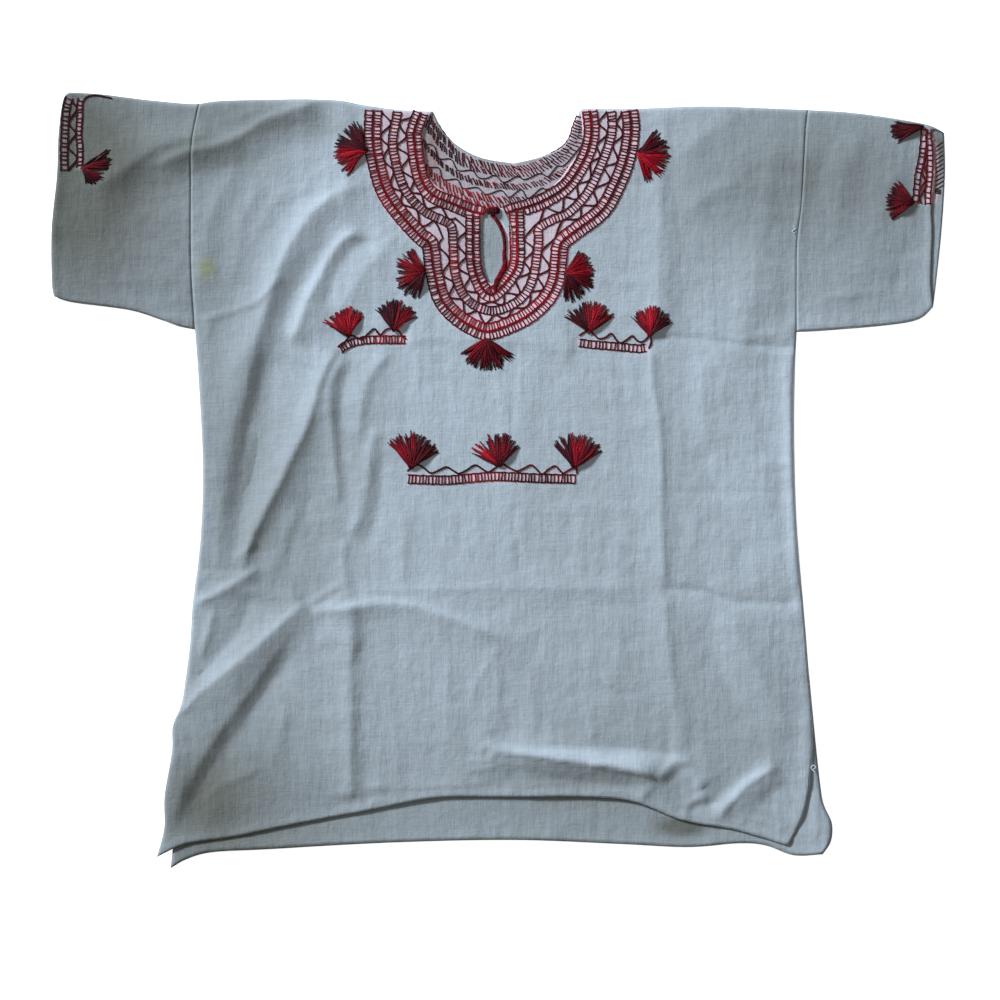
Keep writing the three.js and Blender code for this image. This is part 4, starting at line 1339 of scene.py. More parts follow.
BELLY = Motif(
    "belly_motif",
    Line(((-86.7, -2.4), (-74.3, -2.8), (-50.6, -3.6), (-17.3, -0.8), (1.7, 0), (39.7, -1.7), (73.9, -2.4))),
    7.8, 3.1,
    ((-86.7, 9), (-80, 13.5), (-75.3, 14.7), (-70, 11.5), (-63.9, 7.1), (-56, 10), (-49.2, 12.8),
     (-43, 9.5), (-37.3, 6.7), (-30, 10), (-22.1, 14.7), (-16, 11.5), (-9.7, 8), (-3, 12), (3.6, 15.7),
     (10.5, 12), (17.8, 9), (24, 11.5), (31.1, 14.7), (36, 11), (41.6, 6.2), (48, 11), (54, 13.8),
     (58, 10), (61.5, 7.1), (67, 10), (73.9, 12.8), (74.5, 6)),
    ((0, 0.3), (0.25, 0.1), (0.4, 0.6), (0.55, 0.45), (0.7, 0.1), (1, 0.15)),
    ((0, 0.1), (0.4, 0.05), (0.6, 0.4), (0.8, 0.3), (1, 0.5)),
)


@dataclass(frozen=True)
class StrokeRow:
    """A row of short slanted stitches at a depth inside the neck's edge."""

    depth: float
    size: float
    pitch: float
    shades: Keys


@dataclass
class BackNeckBand:
    """The back's own yoke: its right side meets the surface, and its wrong side shows at the neck.

    The strokes keep their slant as the edge turns, from steep at the left to nearly level at the
    right, and two thin threads step down between their rows.
    """

    wardrobe: Wardrobe
    lie: Lie
    edge: Line = Line((
        (-62, 348), (-57.9, 341.9), (-48.3, 328.1), (-36.7, 316.4), (-24, 309), (-4.9, 303.7),
        (12.1, 302.1), (26.9, 303.1), (42.9, 309), (58.8, 317.5), (66.2, 325.9), (70, 337.6), (74, 348),
    ))
    slants: Keys = (
        (0.0, -104.0), (0.12, -97.0), (0.22, -86.0), (0.33, -70.0), (0.5, -54.0), (0.8, -27.0), (1.0, -20.0),
    )
    steps: tuple[Line, ...] = (
        Line((
            (-70.5, 320.6), (-61, 317.8), (-56.3, 306.4), (-44.9, 305.4), (-38.2, 295), (-24.9, 295),
            (-19.2, 288.3), (-11.6, 287.4), (-3.1, 290.2), (5.5, 283.6), (17.8, 289.3), (25.4, 286.4),
            (39.7, 292.1), (47.3, 289.3), (55.8, 298.8), (62.5, 299.7), (72.9, 311.1), (80.5, 320.6),
        )),
        Line((
            (-66.7, 297.8), (-56.3, 296.9), (-52.5, 286.4), (-39.2, 286.4), (-33.5, 277.9), (-20.2, 278.8),
            (-11.6, 272.2), (2.6, 276), (10.2, 269.3), (21.6, 276.9), (28.3, 268.4), (40.6, 277.9),
            (46.3, 276.9), (56.8, 282.6), (64.4, 289.3),
        )),
    )

    def build(self) -> tuple[Piece, Piece]:
        """Sews both sides.

        Returns:
            The wrong side and the right side.
        """
        above = Stitcher(self.lie, Face.UP, SEED + 5)
        edge = ((0, 0.1), (0.2, 0.05), (0.35, 0.3), (0.55, 0.45), (0.75, 0.25), (1, 0.1))
        deep = ((0, 0.1), (0.25, 0.1), (0.42, 0.45), (0.6, 0.3), (0.8, 0.5), (1, 0.25))
        last = ((0, 0.3), (0.15, 0.45), (0.3, 0.9), (0.45, 0.7), (0.55, 0.2), (1, 0.2))
        rows = (
            StrokeRow(5.0, 7.0, 2.8, edge), StrokeRow(10.6, 6.6, 2.7, edge),
            StrokeRow(22.5, 6.6, 2.2, deep), StrokeRow(35.5, 8.0, 2.1, last), StrokeRow(42.0, 7.4, 2.2, last),
        )
        for stroke_row in rows:
            self.strokes(above, stroke_row)
        for step in self.steps:
            share = even(int(step.length / 1.5))
            above.run(step.at(share), np.full(len(share), 0.02), 0.55)
        below = Stitcher(self.lie, Face.DOWN, SEED + 6)
        middle = ((0, 0.3), (0.3, 0.6), (0.6, 0.2), (1, 0.5))
        row, pitch = 7.2, 3.4
        for depth, rows_there in ((8.0, 2), (26.0, 1), (43.0, 2)):
            Ladder(self.edge.moved(-depth, 25), row, rows_there, (middle,), pitch).sew(below)
        for one, other in ((-15.2, -22.4), (-29.6, -35.8)):
            Wave(self.edge, self.edge, one, other, 11.0, ((0, 0.1), (1, 0.3))).sew(below)
        wrong = above.strands.piece("back_band_wrong_side", self.wardrobe)
        right = below.strands.piece("back_band_right_side", self.wardrobe)
        return wrong, right

    def strokes(self, stitcher: Stitcher, row: StrokeRow) -> None:
        """Sews a row: each stroke is centred in the row and lies at the slant for its place.

        Args:
            stitcher: lays the strokes.
            row: the row's depth, size, pitch and shades.
        """
        draw = stitcher.draw
        count = int(self.edge.length / row.pitch)
        share = (np.arange(count) + 0.5 + draw.normal(0.0, 0.15, count)) / count
        centre = self.edge.beside(share, -(row.depth + draw.normal(0.0, 0.35, count)))
        angle = np.radians(read_keys(share, self.slants) + draw.normal(0.0, 6.0, count))
        half = row.size * draw.uniform(0.8, 1.1, count)[:, None] / 2.0
        reach = np.stack([np.cos(angle), np.sin(angle)], -1) * half
        stitcher.rungs(centre - reach, centre + reach, read_keys(share, row.shades), 0.58)


@dataclass
class KeyholeEdge:
    """What closes and edges the slit: a knot at its top, a bound edge, and its turned-in cloth."""

    wardrobe: Wardrobe
    lie: Lie
    cord: Line = Line((
        (-6.9, 254.5), (-1.9, 247.7), (1.8, 241.1), (4.3, 235.3), (5.7, 228.8), (6.1, 221.4),
        (5.7, 214.2), (6.5, 206.9), (5.5, 201.9), (2.5, 196), (-0.7, 190.2), (-2.4, 185.3), (-3, 180),
    ))
    cord_strands: int = 4
    cord_turn: float = 6.5
    facing: Line = Line((
        (1.7, 258.5), (7.4, 254), (11, 245.6), (13.2, 236.1), (13.8, 223.7), (13.4, 211.4), (10.4, 201.9),
        (4.5, 193.3),
    ))
    knot: Point = (-5.4, 256.2)
    knot_reach: Point = (6.6, 3.4)  # half its length and half its width
    wrap_reach: Point = (3.2, 3.6)

    def build(self) -> tuple[Piece, Piece, Piece]:
        """Makes the knot, the bound edge and the facing."""
        return self.tie(), self.binding(), self.turned_edge()

    def tie(self) -> Piece:
        """The knot: threads side by side across the slit's top, drawn in at their ends and bound.

        Both sets stand on half ellipses: one across the threads, the other along the wraps.

        Returns:
            The piece.
        """
        stitcher = Stitcher(self.lie, seed=SEED + 8)
        draw, threads, wraps = stitcher.draw, 9, 4
        t = np.linspace(-1.0, 1.0, 9)[None]
        across = np.linspace(-1.0, 1.0, threads)[:, None]
        x = self.knot[0] + self.knot_reach[0] * t
        y = self.knot[1] + self.knot_reach[1] * across * (1.0 - 0.55 * t**2)
        y = y + draw.normal(0.0, 0.15, (threads, 1))
        z = 5.4 + 1.2 * np.sqrt(1.0 - (0.9 * across) ** 2) - 2.2 * t**4
        paths = np.stack(np.broadcast_arrays(x, y, z), -1)
        stitcher.strands.add(paths, 0.75, (0.3 + draw.normal(0.0, 0.12, threads))[:, None])
        x = self.knot[0] + self.wrap_reach[0] * np.linspace(-1.0, 1.0, wraps)[:, None] + 0.5 * t
        y = self.knot[1] + self.wrap_reach[1] * t
        z = 4.6 + 2.3 * np.sqrt(1.0 - (0.94 * t) ** 2)
        paths = np.stack(np.broadcast_arrays(x, y, z), -1)
        stitcher.strands.add(paths, 0.7, (0.22 + draw.normal(0.0, 0.1, wraps))[:, None])
        return stitcher.strands.piece("keyhole_knot", self.wardrobe, "keyhole_tie")

    def binding(self) -> Piece:
        """The bound edge: strands that turn about each other, wider apart towards the foot of the slit.

        Each strand stands beside the middle line at spread * cos(turn) and over it at 0.8 sin(turn).

        Returns:
            The piece.
        """
        strands = Strands()
        share = even(90)
        spread = 0.85 + 1.3 * smooth((share - 0.45) / 0.3) * smooth((1.02 - share) / 0.15)
        phase = 2.0 * math.pi * share * self.cord.length / self.cord_turn
        for number in range(self.cord_strands):
            turn = phase + number * 2.0 * math.pi / self.cord_strands
            xy = self.cord.beside(share, spread * np.cos(turn))
            z = 3.6 + 0.8 * np.sin(turn) - 0.6 * smooth(share)
            path = np.column_stack([xy, z])[None]
            strands.add(path, 0.92, 0.42 + 0.2 * np.sin(share * 9.0 + number))
        return strands.piece("keyhole_binding", self.wardrobe)

    def turned_edge(self) -> Piece:
        """The turned-in cloth: a strip from the front's edge down to the bound edge.

        It falls evenly by 1.1 mm, with a wave across it that dies out towards the slit's foot.

        Returns:
            The piece.
        """
        rows, columns = 8, 48
        share, across = np.linspace(0.0, 0.92, columns), even(rows)[:, None]
        outer, inner = self.facing.at(share), self.cord.at(share)
        xy = outer[None] * (1.0 - across[..., None]) + inner[None] * across[..., None]
        z = 3.4 - 1.1 * across + 0.55 * np.sin(3.2 * across + 5.0 * share[None]) * (1.0 - share[None])
        points = np.concatenate([xy, np.broadcast_to(z, xy.shape[:2])[..., None]], -1).reshape(-1, 3)
        faces = grid_faces(rows, columns)[:, ::-1]
        bleed = 0.35 * np.clip(points[:, 1] / -40.0 + 6.2, 0.0, 1.0)
        # painted shade: the strip is evenly darkened by a quarter of the shade colour
        numbers = {"bleed": bleed, "age": np.full(len(points), 0.25)}
        piece = dress("keyhole_facing", points, faces.tolist(), Slot.COTTON, self.wardrobe, None, numbers)
        return thicken(piece, 0.5)


@dataclass(frozen=True)
class CuffLadder:
    """One ladder of a cuff: its middle line, its width and the shades along it."""

    line: Line
    row: float
    shades: Keys
    pitch: float


@dataclass(frozen=True)
class CuffBand:
    """The embroidery along a cuff: two ladders, and threads that swing from the first to the second.

    Each such thread is given by the length of its swings and by where in a swing it starts.
    """

    name: str
    first: CuffLadder
    second: CuffLadder
    waves: tuple[tuple[float, float], ...]
    wave_shades: Keys

    def build(self, wardrobe: Wardrobe, lie: Lie, seed: int) -> Piece:
        """Sews the cuff.

        Args:
            wardrobe: the cotton and the thread.
            lie: how the cloth under the threads lies.
            seed: start of the random draws.

        Returns:
            The piece.
        """
        stitcher = Stitcher(lie, seed=seed)
        first, second = self.first, self.second
        for part in (first, second):
            Ladder(part.line, part.row, 1, (part.shades,), part.pitch).sew(stitcher)
        for swing, start in self.waves:
            edges = (first.line, second.line, first.row / 2, -second.row / 2)
            Wave(*edges, swing, self.wave_shades, start).sew(stitcher)
        return stitcher.strands.piece(self.name, wardrobe)


@dataclass(frozen=True)
class Tuft:
    """A fan of cut threads, tied at its root and spread on the cloth.

    A thread leaves the root at its own angle, rises by an arch of sin(pi t) and comes down at its
    tip. Towards the tips the threads draw together into locks, with gaps between them.
    """

    name: str
    x: float
    y: float
    aim: float
    spread: float
    reach: float
    shades: Keys
    threads: int = 100
    gap: tuple[float, float] = (2.0, 2.0)
    lean: float = 0.0
    locks: int = 20

    def build(self, wardrobe: Wardrobe, lie: Lie, seed: int) -> Piece:
        """Lays out the threads.

        Args:
            wardrobe: the cotton and the thread.
            lie: how the cloth under the threads lies.
            seed: start of the random draws.

        Returns:
            The piece.
        """
        stitcher = Stitcher(lie, seed=seed)
        draw = stitcher.draw
        place = np.linspace(-1.0, 1.0, self.threads) + draw.normal(0.0, 0.03, self.threads)
        place = place[(place < self.gap[0]) | (place > self.gap[1])]
        count = len(place)
        lock = np.round(place * self.locks / 2.0 + draw.normal(0.0, 0.12, count)).astype(int)
        heart = 2.0 * lock / self.locks
        stray = draw.normal(0.0, 0.11, self.locks + 4)[lock]
        t = even(9)
        gather = 0.82 * smooth((t - 0.5) / 0.42)[None]
        side = place[:, None] * (1.0 - gather) + (heart + 0.25 * stray)[:, None] * gather
        bend = np.radians(9.0 * stray + draw.normal(0.0, 2.5, count))[:, None] * (t[None] ** 2)
        turn = np.radians(self.aim + side * self.spread) + bend
        length = self.reach * (1.0 + self.lean * place - 0.06 * np.abs(place) ** 3) * (1.0 + 0.35 * stray)
        out = (length * draw.uniform(0.86, 1.04, count))[:, None] * t[None]
        root = draw.normal(0.0, 0.9, (count, 2))
        xy = np.stack([np.cos(turn) * out, np.sin(turn) * out], -1)
        xy = xy + np.array([self.x, self.y]) + root[:, None] * (1.0 - t)[None, :, None]
        layer = draw.uniform(0.35, 1.0, count)
        arch = 0.9 + 3.0 * layer[:, None] * np.sin(math.pi * np.minimum(1.0, 0.15 + 0.9 * t))[None]
        arch = arch * (1.0 - 0.6 * t[None] ** 2)
        path = stitcher.lift(xy, arch)
        size = np.array([0.6, 0.72, 0.8, 0.82, 0.8, 0.7, 0.58, 0.5, 0.38])
        tone = read_keys((place + 1.0) / 2.0, self.shades) + 1.1 * stray + draw.normal(0.0, 0.06, count)
        # threads that lie lower in the fan are painted darker as painted shade; all threads grow darker
        # towards their tips
        tone = tone[:, None] - 0.24 * smooth((t - 0.65) / 0.35)[None] - 0.12 * (1.0 - layer[:, None])
        stitcher.strands.add(path, size[None] * draw.uniform(0.85, 1.15, (count, 1)), np.clip(tone, 0.0, 1.0))
        return stitcher.strands.piece(self.name + "_threads", wardrobe, self.name)


# name, root x and y, aim and half spread in degrees, reach, then shades from the right of the aim to its left
TUFTS_ON_FRONT = (
    Tuft("tuft_neck_left_top", -125.6, 313, 168, 64, 30, ((0, 0.1), (0.45, 0.2), (0.6, 0.85), (1, 0.7))),
    Tuft("tuft_neck_right_top", 132.8, 310.2, -10, 66, 29, ((0, 0.75), (0.5, 0.7), (0.7, 0.3), (1, 0.3))),
    Tuft("tuft_neck_left_mid", -71, 198.1, 188, 74, 27, ((0, 0.55), (0.6, 0.7), (0.72, 0.15), (1, 0.1))),
    Tuft(
        "tuft_neck_right_mid", 64.4, 196.2, -17, 78, 27,
        ((0, 0.2), (0.3, 0.25), (0.5, 0.3), (0.62, 0.75), (1, 0.6)),
    ),
    Tuft("tuft_neck_bottom", -10.7, 133.5, 271, 64, 29, ((0, 0.5), (0.4, 0.35), (0.7, 0.2), (1, 0.4))),
    Tuft("tuft_chest_left_outer", -141.8, 138.2, 106, 54, 25, ((0, 0.7), (0.6, 0.8), (0.85, 0.5), (1, 0.4))),
    Tuft("tuft_chest_left_inner", -99, 143, 83, 49, 27, ((0, 0.6), (0.35, 0.55), (0.5, 0.1), (1, 0.15))),
    Tuft("tuft_chest_right_inner", 86.2, 142, 88, 59, 28, ((0, 0.4), (0.4, 0.75), (0.8, 0.3), (1, 0.2))),
    Tuft(
        "tuft_chest_right_outer", 144.2, 138.2, 84, 52, 26,
        ((0, 0.2), (0.35, 0.3), (0.5, 0.8), (0.75, 0.7), (1, 0.3)),
    ),
    Tuft("tuft_belly_left", -82.4, 12.8, 84, 52, 32, ((0, 0.35), (0.5, 0.4), (1, 0.5))),
    Tuft("tuft_belly_middle", 0.7, 14.7, 100, 56, 29, ((0, 0.3), (0.4, 0.35), (0.8, 0.65), (1, 0.5))),
    Tuft(
        "tuft_belly_right", 72, 12.8, 80, 52, 31,
        ((0, 0.25), (0.35, 0.5), (0.55, 0.8), (0.7, 0.15), (1, 0.2)),
    ),
)
TUFT_ON_LEFT_SLEEVE = Tuft(
    "tuft_cuff_left", -394.5, 296.9, -17, 53, 24.5, ((0, 0.1), (0.4, 0.45), (0.7, 0.4), (1, 0.15)), 60,
    (-0.15, 0.2), 0.26,
)
TUFTS_ON_RIGHT_SLEEVE = (
    Tuft("tuft_cuff_right_top", 402.5, 336, 190, 20, 29, ((0, 0.1), (0.5, 0.4), (1, 0.15)), 60),
    Tuft(
        "tuft_cuff_right_bottom", 393, 263.6, 171, 50, 25,
        ((0, 0.3), (0.4, 0.35), (0.8, 0.45), (1, 0.5)), 80,
    ),
)


LEFT_CUFF_OUTER = Line((
    (-407.6, 364.5), (-410, 357), (-411.4, 346), (-412.2, 330.3), (-412.7, 315), (-412.4, 293.9),
))
LEFT_CUFF_INNER = Line((
    (-396.5, 363.5), (-398, 356), (-398, 345.4), (-398.8, 330.3), (-397.6, 315), (-398, 297),
))
RIGHT_CUFF_INNER = Line((
    (405, 334.4), (403.6, 318.7), (401.8, 304.5), (398.6, 290.2), (397.2, 276), (395.8, 263.2),
))
RIGHT_CUFF_OUTER = Line((
    (408.6, 331.6), (409.6, 318), (410.2, 305), (409.5, 287.4), (408.3, 276), (408, 261.7),
))
RIGHT_CUFF_EDGE = Line(((411, 330), (413.6, 312), (415.2, 288), (412.4, 264)))
LEFT_CUFF_BAND = CuffBand(
    "cuff_band_left",
    CuffLadder(LEFT_CUFF_OUTER, 6.6, ((0, 0.1), (1, 0.02)), 4.1),
    CuffLadder(LEFT_CUFF_INNER, 5.4, ((0, 0.3), (0.5, 0.15), (1, 0.2)), 4.1),
    ((11.0, 0.0),), ((0, 0.25), (0.4, 0.08), (1, 0.02)),
)
RIGHT_CUFF_BAND = CuffBand(
    "cuff_band_right",
    CuffLadder(RIGHT_CUFF_INNER, 5.4, ((0, 0.3), (0.5, 0.15), (1, 0.25)), 4.9),
    CuffLadder(RIGHT_CUFF_OUTER, 5.2, ((0, 0.45), (1, 0.3)), 5.0),
    ((16.0, 0.0), (19.0, 0.5)), ((0, 0.35), (0.5, 0.45), (1, 0.4)),
)


@dataclass
class LooseThreads:
    """A loop at the left cuff, white ends at the right slit and armhole, and the right cuff's inside.

    The strokes inside the right cuff lie on the sleeve's lower layer.
    """

    wardrobe: Wardrobe
    lie: Lie
    loop: Line = Line((
        (-394.4, 361.5), (-391, 364.6), (-387, 365.9), (-380.6, 366), (-373, 364.6), (-367, 363.2),
    ))
    ends: tuple[Line, ...] = (
        Line(((299.5, -276), (297.4, -273), (299.6, -270.6), (301.6, -273), (299, -275), (302.5, -278))),
        Line(((280, 242), (282, 239), (279.6, 236.6), (281.6, 234.5))),
    )

    def build(self) -> tuple[Piece, Piece, Piece]:
        """Makes the loop, the white ends and the strokes.

        Returns:
            The three pieces.
        """
        share = even(24)
        loop = Stitcher(self.lie, seed=SEED + 80)
        loop.run(self.loop.at(share), np.full(len(share), 0.05), 0.85)
        ends = Stitcher(self.lie, seed=SEED + 81)
        for end in self.ends:
            ends.run(end.at(share), np.full(len(share), 0.5), 0.6)
        return (
            loop.strands.piece("cuff_loop_left", self.wardrobe),
            ends.strands.piece("loose_ends", self.wardrobe, slot=Slot.COTTON),
            self.strokes(),
        )

    def strokes(self) -> Piece:
        """The strokes inside the right cuff: a row of slanted ones, with three level ones below it.

        Returns:
            The piece.
        """
        lower = Stitcher(Lie(WEAVE - CLOTH, 0.0, (), crumple=0.0), seed=SEED + 82)
        foot, head = 278.0, 322.0
        y = np.arange(foot, head, 4.1)
        start = np.column_stack([415.6 + 0.02 * (y - foot), y - 1.8])
        end = np.column_stack([423.6 - 0.02 * (y - foot), y + 2.8])
        lower.rungs(start, end, np.full(len(y), 0.08), 0.8)
        y = np.array([272.6, 274.2, 275.8])
        start = np.column_stack([np.full(len(y), 415.4), y + 1.0])
        end = np.column_stack([np.full(len(y), 421.0), y])
        lower.rungs(start, end, np.full(len(y), 0.02), 0.9)
        return lower.strands.piece("cuff_strokes_right", self.wardrobe)


# ---- Cloth ----


@dataclass(frozen=True)
class Dyed:
    """A strip along a line where dye has run, between two distances from the line."""

    line: Line
    low: float
    high: float
    strength: float

    def at(self, xy: Array) -> Array:
        """Strength of the dye, with a soft edge.

        Args:
            xy: points, one to a row.

        Returns:
            One strength for each point.
        """
        strength = np.zeros(len(xy))
        reach = max(abs(self.low), abs(self.high)) + 2.0 * DYE_EDGE
        for part, off, share in near_line(self.line, xy, reach):
            ends = (share > 0.001) & (share < 0.999)
            past_low, past_high = off - self.low + DYE_EDGE, self.high - off + DYE_EDGE
            inside = smooth(past_low / (2.0 * DYE_EDGE)) * smooth(past_high / (2.0 * DYE_EDGE))
            strength[part] = self.strength * inside * ends
        return strength


@dataclass(frozen=True)
class Patch:
    """A soft patch of painted shade on the cloth: strength * exp(-(x / across)^2 - (y / up)^2).

    A strength under zero is painted light, which makes the cloth paler there.
    """

    strength: float
    middle: Point
    across: float
    up: float

    def at(self, xy: Array) -> Array:
        """Painted shade that the patch adds at each point."""
        x, y = (xy - self.middle).T
        return self.strength * np.exp(-((x / self.across) ** 2) - (y / self.up) ** 2)


def patches(*rows: tuple[float, Point, float, float]) -> tuple[Patch, ...]:
    """Patches from the rows of a table."""
    return tuple(Patch(*row) for row in rows)


# painted shade on all the cloth: darker over the left sleeve, beside folds and in the right cuff's mouth;
# patches under zero are painted light on lit facets
# strength, middle, half width across and half width up
SHADE_PATCHES = patches(
    (0.95, (-400, 260), 125, 150), (0.35, (-415, 320), 60, 80), (0.22, (-250, 335), 130, 60),
    (0.28, (-284, -304), 44, 44), (0.42, (-262, 40), 50, 190), (0.24, (-150, 45), 50, 60),
    (0.46, (-262, -300), 100, 110), (0.25, (-200, -60), 70, 120), (0.62, (350, 290), 110, 100),
    (0.75, (419, 312), 6, 26), (0.36, (230, 290), 90, 90), (0.30, (0, -330), 900, 190),
    (0.12, (220, -250), 90, 80), (0.16, (130, 0), 130, 330), (0.36, (62, -286), 76, 22),
    (0.30, (-226, 352), 60, 22), (-0.26, (302, -322), 32, 80), (0.30, (-262, 312), 50, 18),
    (0.26, (-195, 338), 60, 13), (-0.16, (-170, 286), 26, 30), (0.13, (-188, -38), 60, 90),
    (0.05, (-28, -70), 110, 90), (0.18, (353, 172), 90, 45), (-0.34, (48, -259), 44, 6),
    (-0.42, (112, -266), 44, 9), (-0.3, (188, -286), 9, 20), (-0.28, (225, -301), 9, 9),
    (-0.3, (239, -288), 9, 9), (-0.3, (253, -278), 10, 8), (-0.3, (62, -295), 80, 4.5),
)
# painted shadow on the back: beside its neck, behind the keyhole and under the crumpled front hem
BACK_SHADE_PATCHES = patches(
    (0.9, (-64, 318), 9, 22), (0.4, (-60, 285), 14, 22), (0.3, (70, 335), 9, 20),
    (0.25, (5, 292), 90, 34), (0.3, (-6, 222), 12, 34), (0.85, (175, -329), 22, 8),
)


@dataclass
class Marks:
    """What is on the cloth: painted shade and painted light, a stain, and dye that has run from the thread.
    """

    dyed: tuple[Dyed, ...]
    shade_all_over: float = 0.0
    more: tuple[Patch, ...] = ()
    stain_at: Point = (-276.7, 201.9)
    stain_size: float = 13.0

    def numbers(self, points: Array) -> dict[str, Array]:
        """The marks' strength on a mesh.

        Args:
            points: the mesh's points in millimetres.

        Returns:
            One strength for each point, by the mark's name.
        """
        xy = points[:, :2]
        x, y = xy.T
        bleed = np.max([np.zeros(len(xy)), *(dyed.at(xy) for dyed in self.dyed)], 0)
        spot = np.hypot(x - self.stain_at[0], (y - self.stain_at[1]) * 0.8)
        stain = 0.75 * smooth(1.0 - spot / self.stain_size)
        # painted shade: an even amount for the whole piece plus the patches, those under zero being painted
        # light
        age = np.clip(self.shade_all_over + sum(patch.at(xy) for patch in SHADE_PATCHES + self.more), 0.0, 1.0)
        return {"bleed": bleed, "stain": stain, "age": age}


Edges = tuple[Chain, Chain, Stretch, Stretch]


@dataclass
class Body:
    """A body panel of two halves that meet at the middle, so that its grid follows the neckline.

    Each half is given by its left, right, bottom and top edges.
    """

    name: str
    node: str
    wardrobe: Wardrobe
    lie: Lie
    left: Edges
    right: Edges
    columns: int
    rows: int
    thick: float = WEAVE

    def build(self, marks: Marks) -> Piece:
        """Makes the panel as a thin shell over its two grids, with the middle column shared.

        Args:
            marks: painted shade, stain and dye on the cloth.

        Returns:
            The piece.
        """
        west = coons(*self.left, self.columns, self.rows)
        east = coons(*self.right, self.columns, self.rows)
        xy = np.concatenate([west, east], 1)
        across = xy.shape[1]
        flat = xy.reshape(-1, 2)
        points = np.column_stack([flat, self.lie.top(flat)])
        squares = grid_faces(self.rows + 1, across).reshape(self.rows, across - 1, 4)
        squares = np.delete(squares, self.columns, 1)
        joined = self.joined_rows()
        number = np.arange(len(flat)).reshape(self.rows + 1, across)
        number[:joined, self.columns + 1] = number[:joined, self.columns]
        squares = number.reshape(-1)[squares].reshape(-1, 4)
        used, corner = np.unique(squares, return_inverse=True)
        points = points[used]
        numbers = marks.numbers(points)
        faces = corner.reshape(-1, 4).tolist()
        piece = dress(self.name, points, faces, Slot.COTTON, self.wardrobe, self.node, numbers)
        return thicken(piece, self.thick)

    def joined_rows(self) -> int:
        """Rows of points that the halves share, from the hem up to the slit or the neck."""
        return round(self.left[1].ends[0] * self.rows) + 1


def two_halves(
    hem: Line, cut: float, spine: tuple[Point, ...], sides: tuple[Line, Line],
    necks: tuple[tuple[Line, ...], tuple[Line, ...]], arm: float, ends: tuple[float, ...],
) -> tuple[Edges, Edges]:
    """The edges of a body panel's two halves, which meet on a line up the middle.

    Args:
        hem: the panel's hem, from left to right.
        cut: share of the hem where the halves meet.
        spine: points of the middle line over the hem, up to the slit or the neck.
        sides: left and right side, up to the pits.
        necks: lines of the left and of the right neck edge, upwards from the spine's top.
        arm: share of the rows at the pits.
        ends: share of the rows at the end of the spine and of each neck line.

    Returns:
        The left, right, bottom and top edges of the left half, and the same of the right half.
    """
    spine_line = Line((tuple(hem.at(np.array(cut))), *spine))
    middles = [Chain((spine_line, *neck), ends) for neck in necks]
    outer = [Chain((side, hole), (arm, 1.0)) for side, hole in zip(sides, (LEFT_ARMHOLE, RIGHT_ARMHOLE))]
    left = (outer[0], middles[0], Stretch(hem, 0.0, cut), Stretch(SHOULDER_LEFT))
    right = (middles[1], outer[1], Stretch(hem, cut, 1.0), Stretch(SHOULDER_RIGHT))
    return left, right


def upper_lie() -> Lie:
    """How the upper layer lies: the front and both sleeves' tops, as one cloth with all its folds.

    Returns:
        The lie of the upper layer.
    """
    held = (
        FRONT_LEFT_SIDE, FRONT_RIGHT_SIDE, SHOULDER_LEFT, SHOULDER_RIGHT, LEFT_SLEEVE_TOP, LEFT_SLEEVE_SEAM,
        LEFT_CUFF, RIGHT_SLEEVE_TOP, RIGHT_SLEEVE_SEAM, RIGHT_CUFF,
    )
    holds = tuple(Hold(1.0, line) for line in held)
    holds += tuple(Hold(0.85, line) for line in (NECK_LEFT, NECK_RIGHT, KEYHOLE_LEFT, KEYHOLE_RIGHT))
    holds += (Hold(0.85, FRONT_HEM),)
    turns = (
        Turn(0.9, SHOULDER_LEFT), Turn(0.9, SHOULDER_RIGHT),
        Turn(0.9, Stretch(FRONT_LEFT_SIDE, 0.35, 1.0)), Turn(0.9, Stretch(FRONT_RIGHT_SIDE, 0.4, 1.0)),
        Turn(0.5, Stretch(FRONT_LEFT_SIDE, 0.0, 0.35)), Turn(0.9, Stretch(FRONT_RIGHT_SIDE, 0.0, 0.4)),
    )
    hems = (FRONT_HEM, LEFT_CUFF, RIGHT_CUFF)
    return Lie(SEAT, LOFT, holds, FOLDS, CREASES, turns, hems, 0.55)


def front_body(wardrobe: Wardrobe, lie: Lie) -> Body:
    """The front: its halves meet from the hem to the foot of the keyhole slit.

    Args:
        wardrobe: the cotton and the thread.
        lie: how the panel lies.

    Returns:
        The front, ready to build.
    """
    rows = 230
    pit, slit_top = 160 / rows, 190 / rows
    spine = ((0.0, -60.0), (-4.0, 80.0), SLIT_FOOT)
    necks = ((KEYHOLE_LEFT, NECK_LEFT), (KEYHOLE_RIGHT, NECK_RIGHT))
    sides, ends = (FRONT_LEFT_SIDE, FRONT_RIGHT_SIDE), (pit, slit_top, 1.0)
    left, right = two_halves(FRONT_HEM, 0.53, spine, sides, necks, pit, ends)
    return Body("front", "body_front", wardrobe, lie, left, right, 95, rows)


def back_lie() -> Lie:
    """How the back lies: flat, with its hem turned and low waves where it shows.

    Returns:
        The lie of the back.
    """
    creases = (
        crease(0.9, 6, 9, 1.5, 0.2, (-290, -356), (-240, -347), (-180, -345)),
        crease(0.8, 7, 7, 1.5, 0.2, (40, -343), (60, -328), (96, -318)),
        crease(0.9, 6, 6, 1.4, 0.2, (196, -347), (215, -338), (240, -340)),
        crease(0.9, 5, 7, 1.3, 0.2, (296, -350), (301, -325), (300, -290)),
    )
    edges = (
        SHOULDER_LEFT, SHOULDER_RIGHT, Stretch(BACK_LEFT_SIDE, 0.3, 1.0), Stretch(BACK_RIGHT_SIDE, 0.35, 1.0),
    )
    turns = tuple(Turn(0.9, edge) for edge in edges)
    return Lie(0.0, 0.0, (), (), creases, turns, (BACK_HEM,), 0.12)


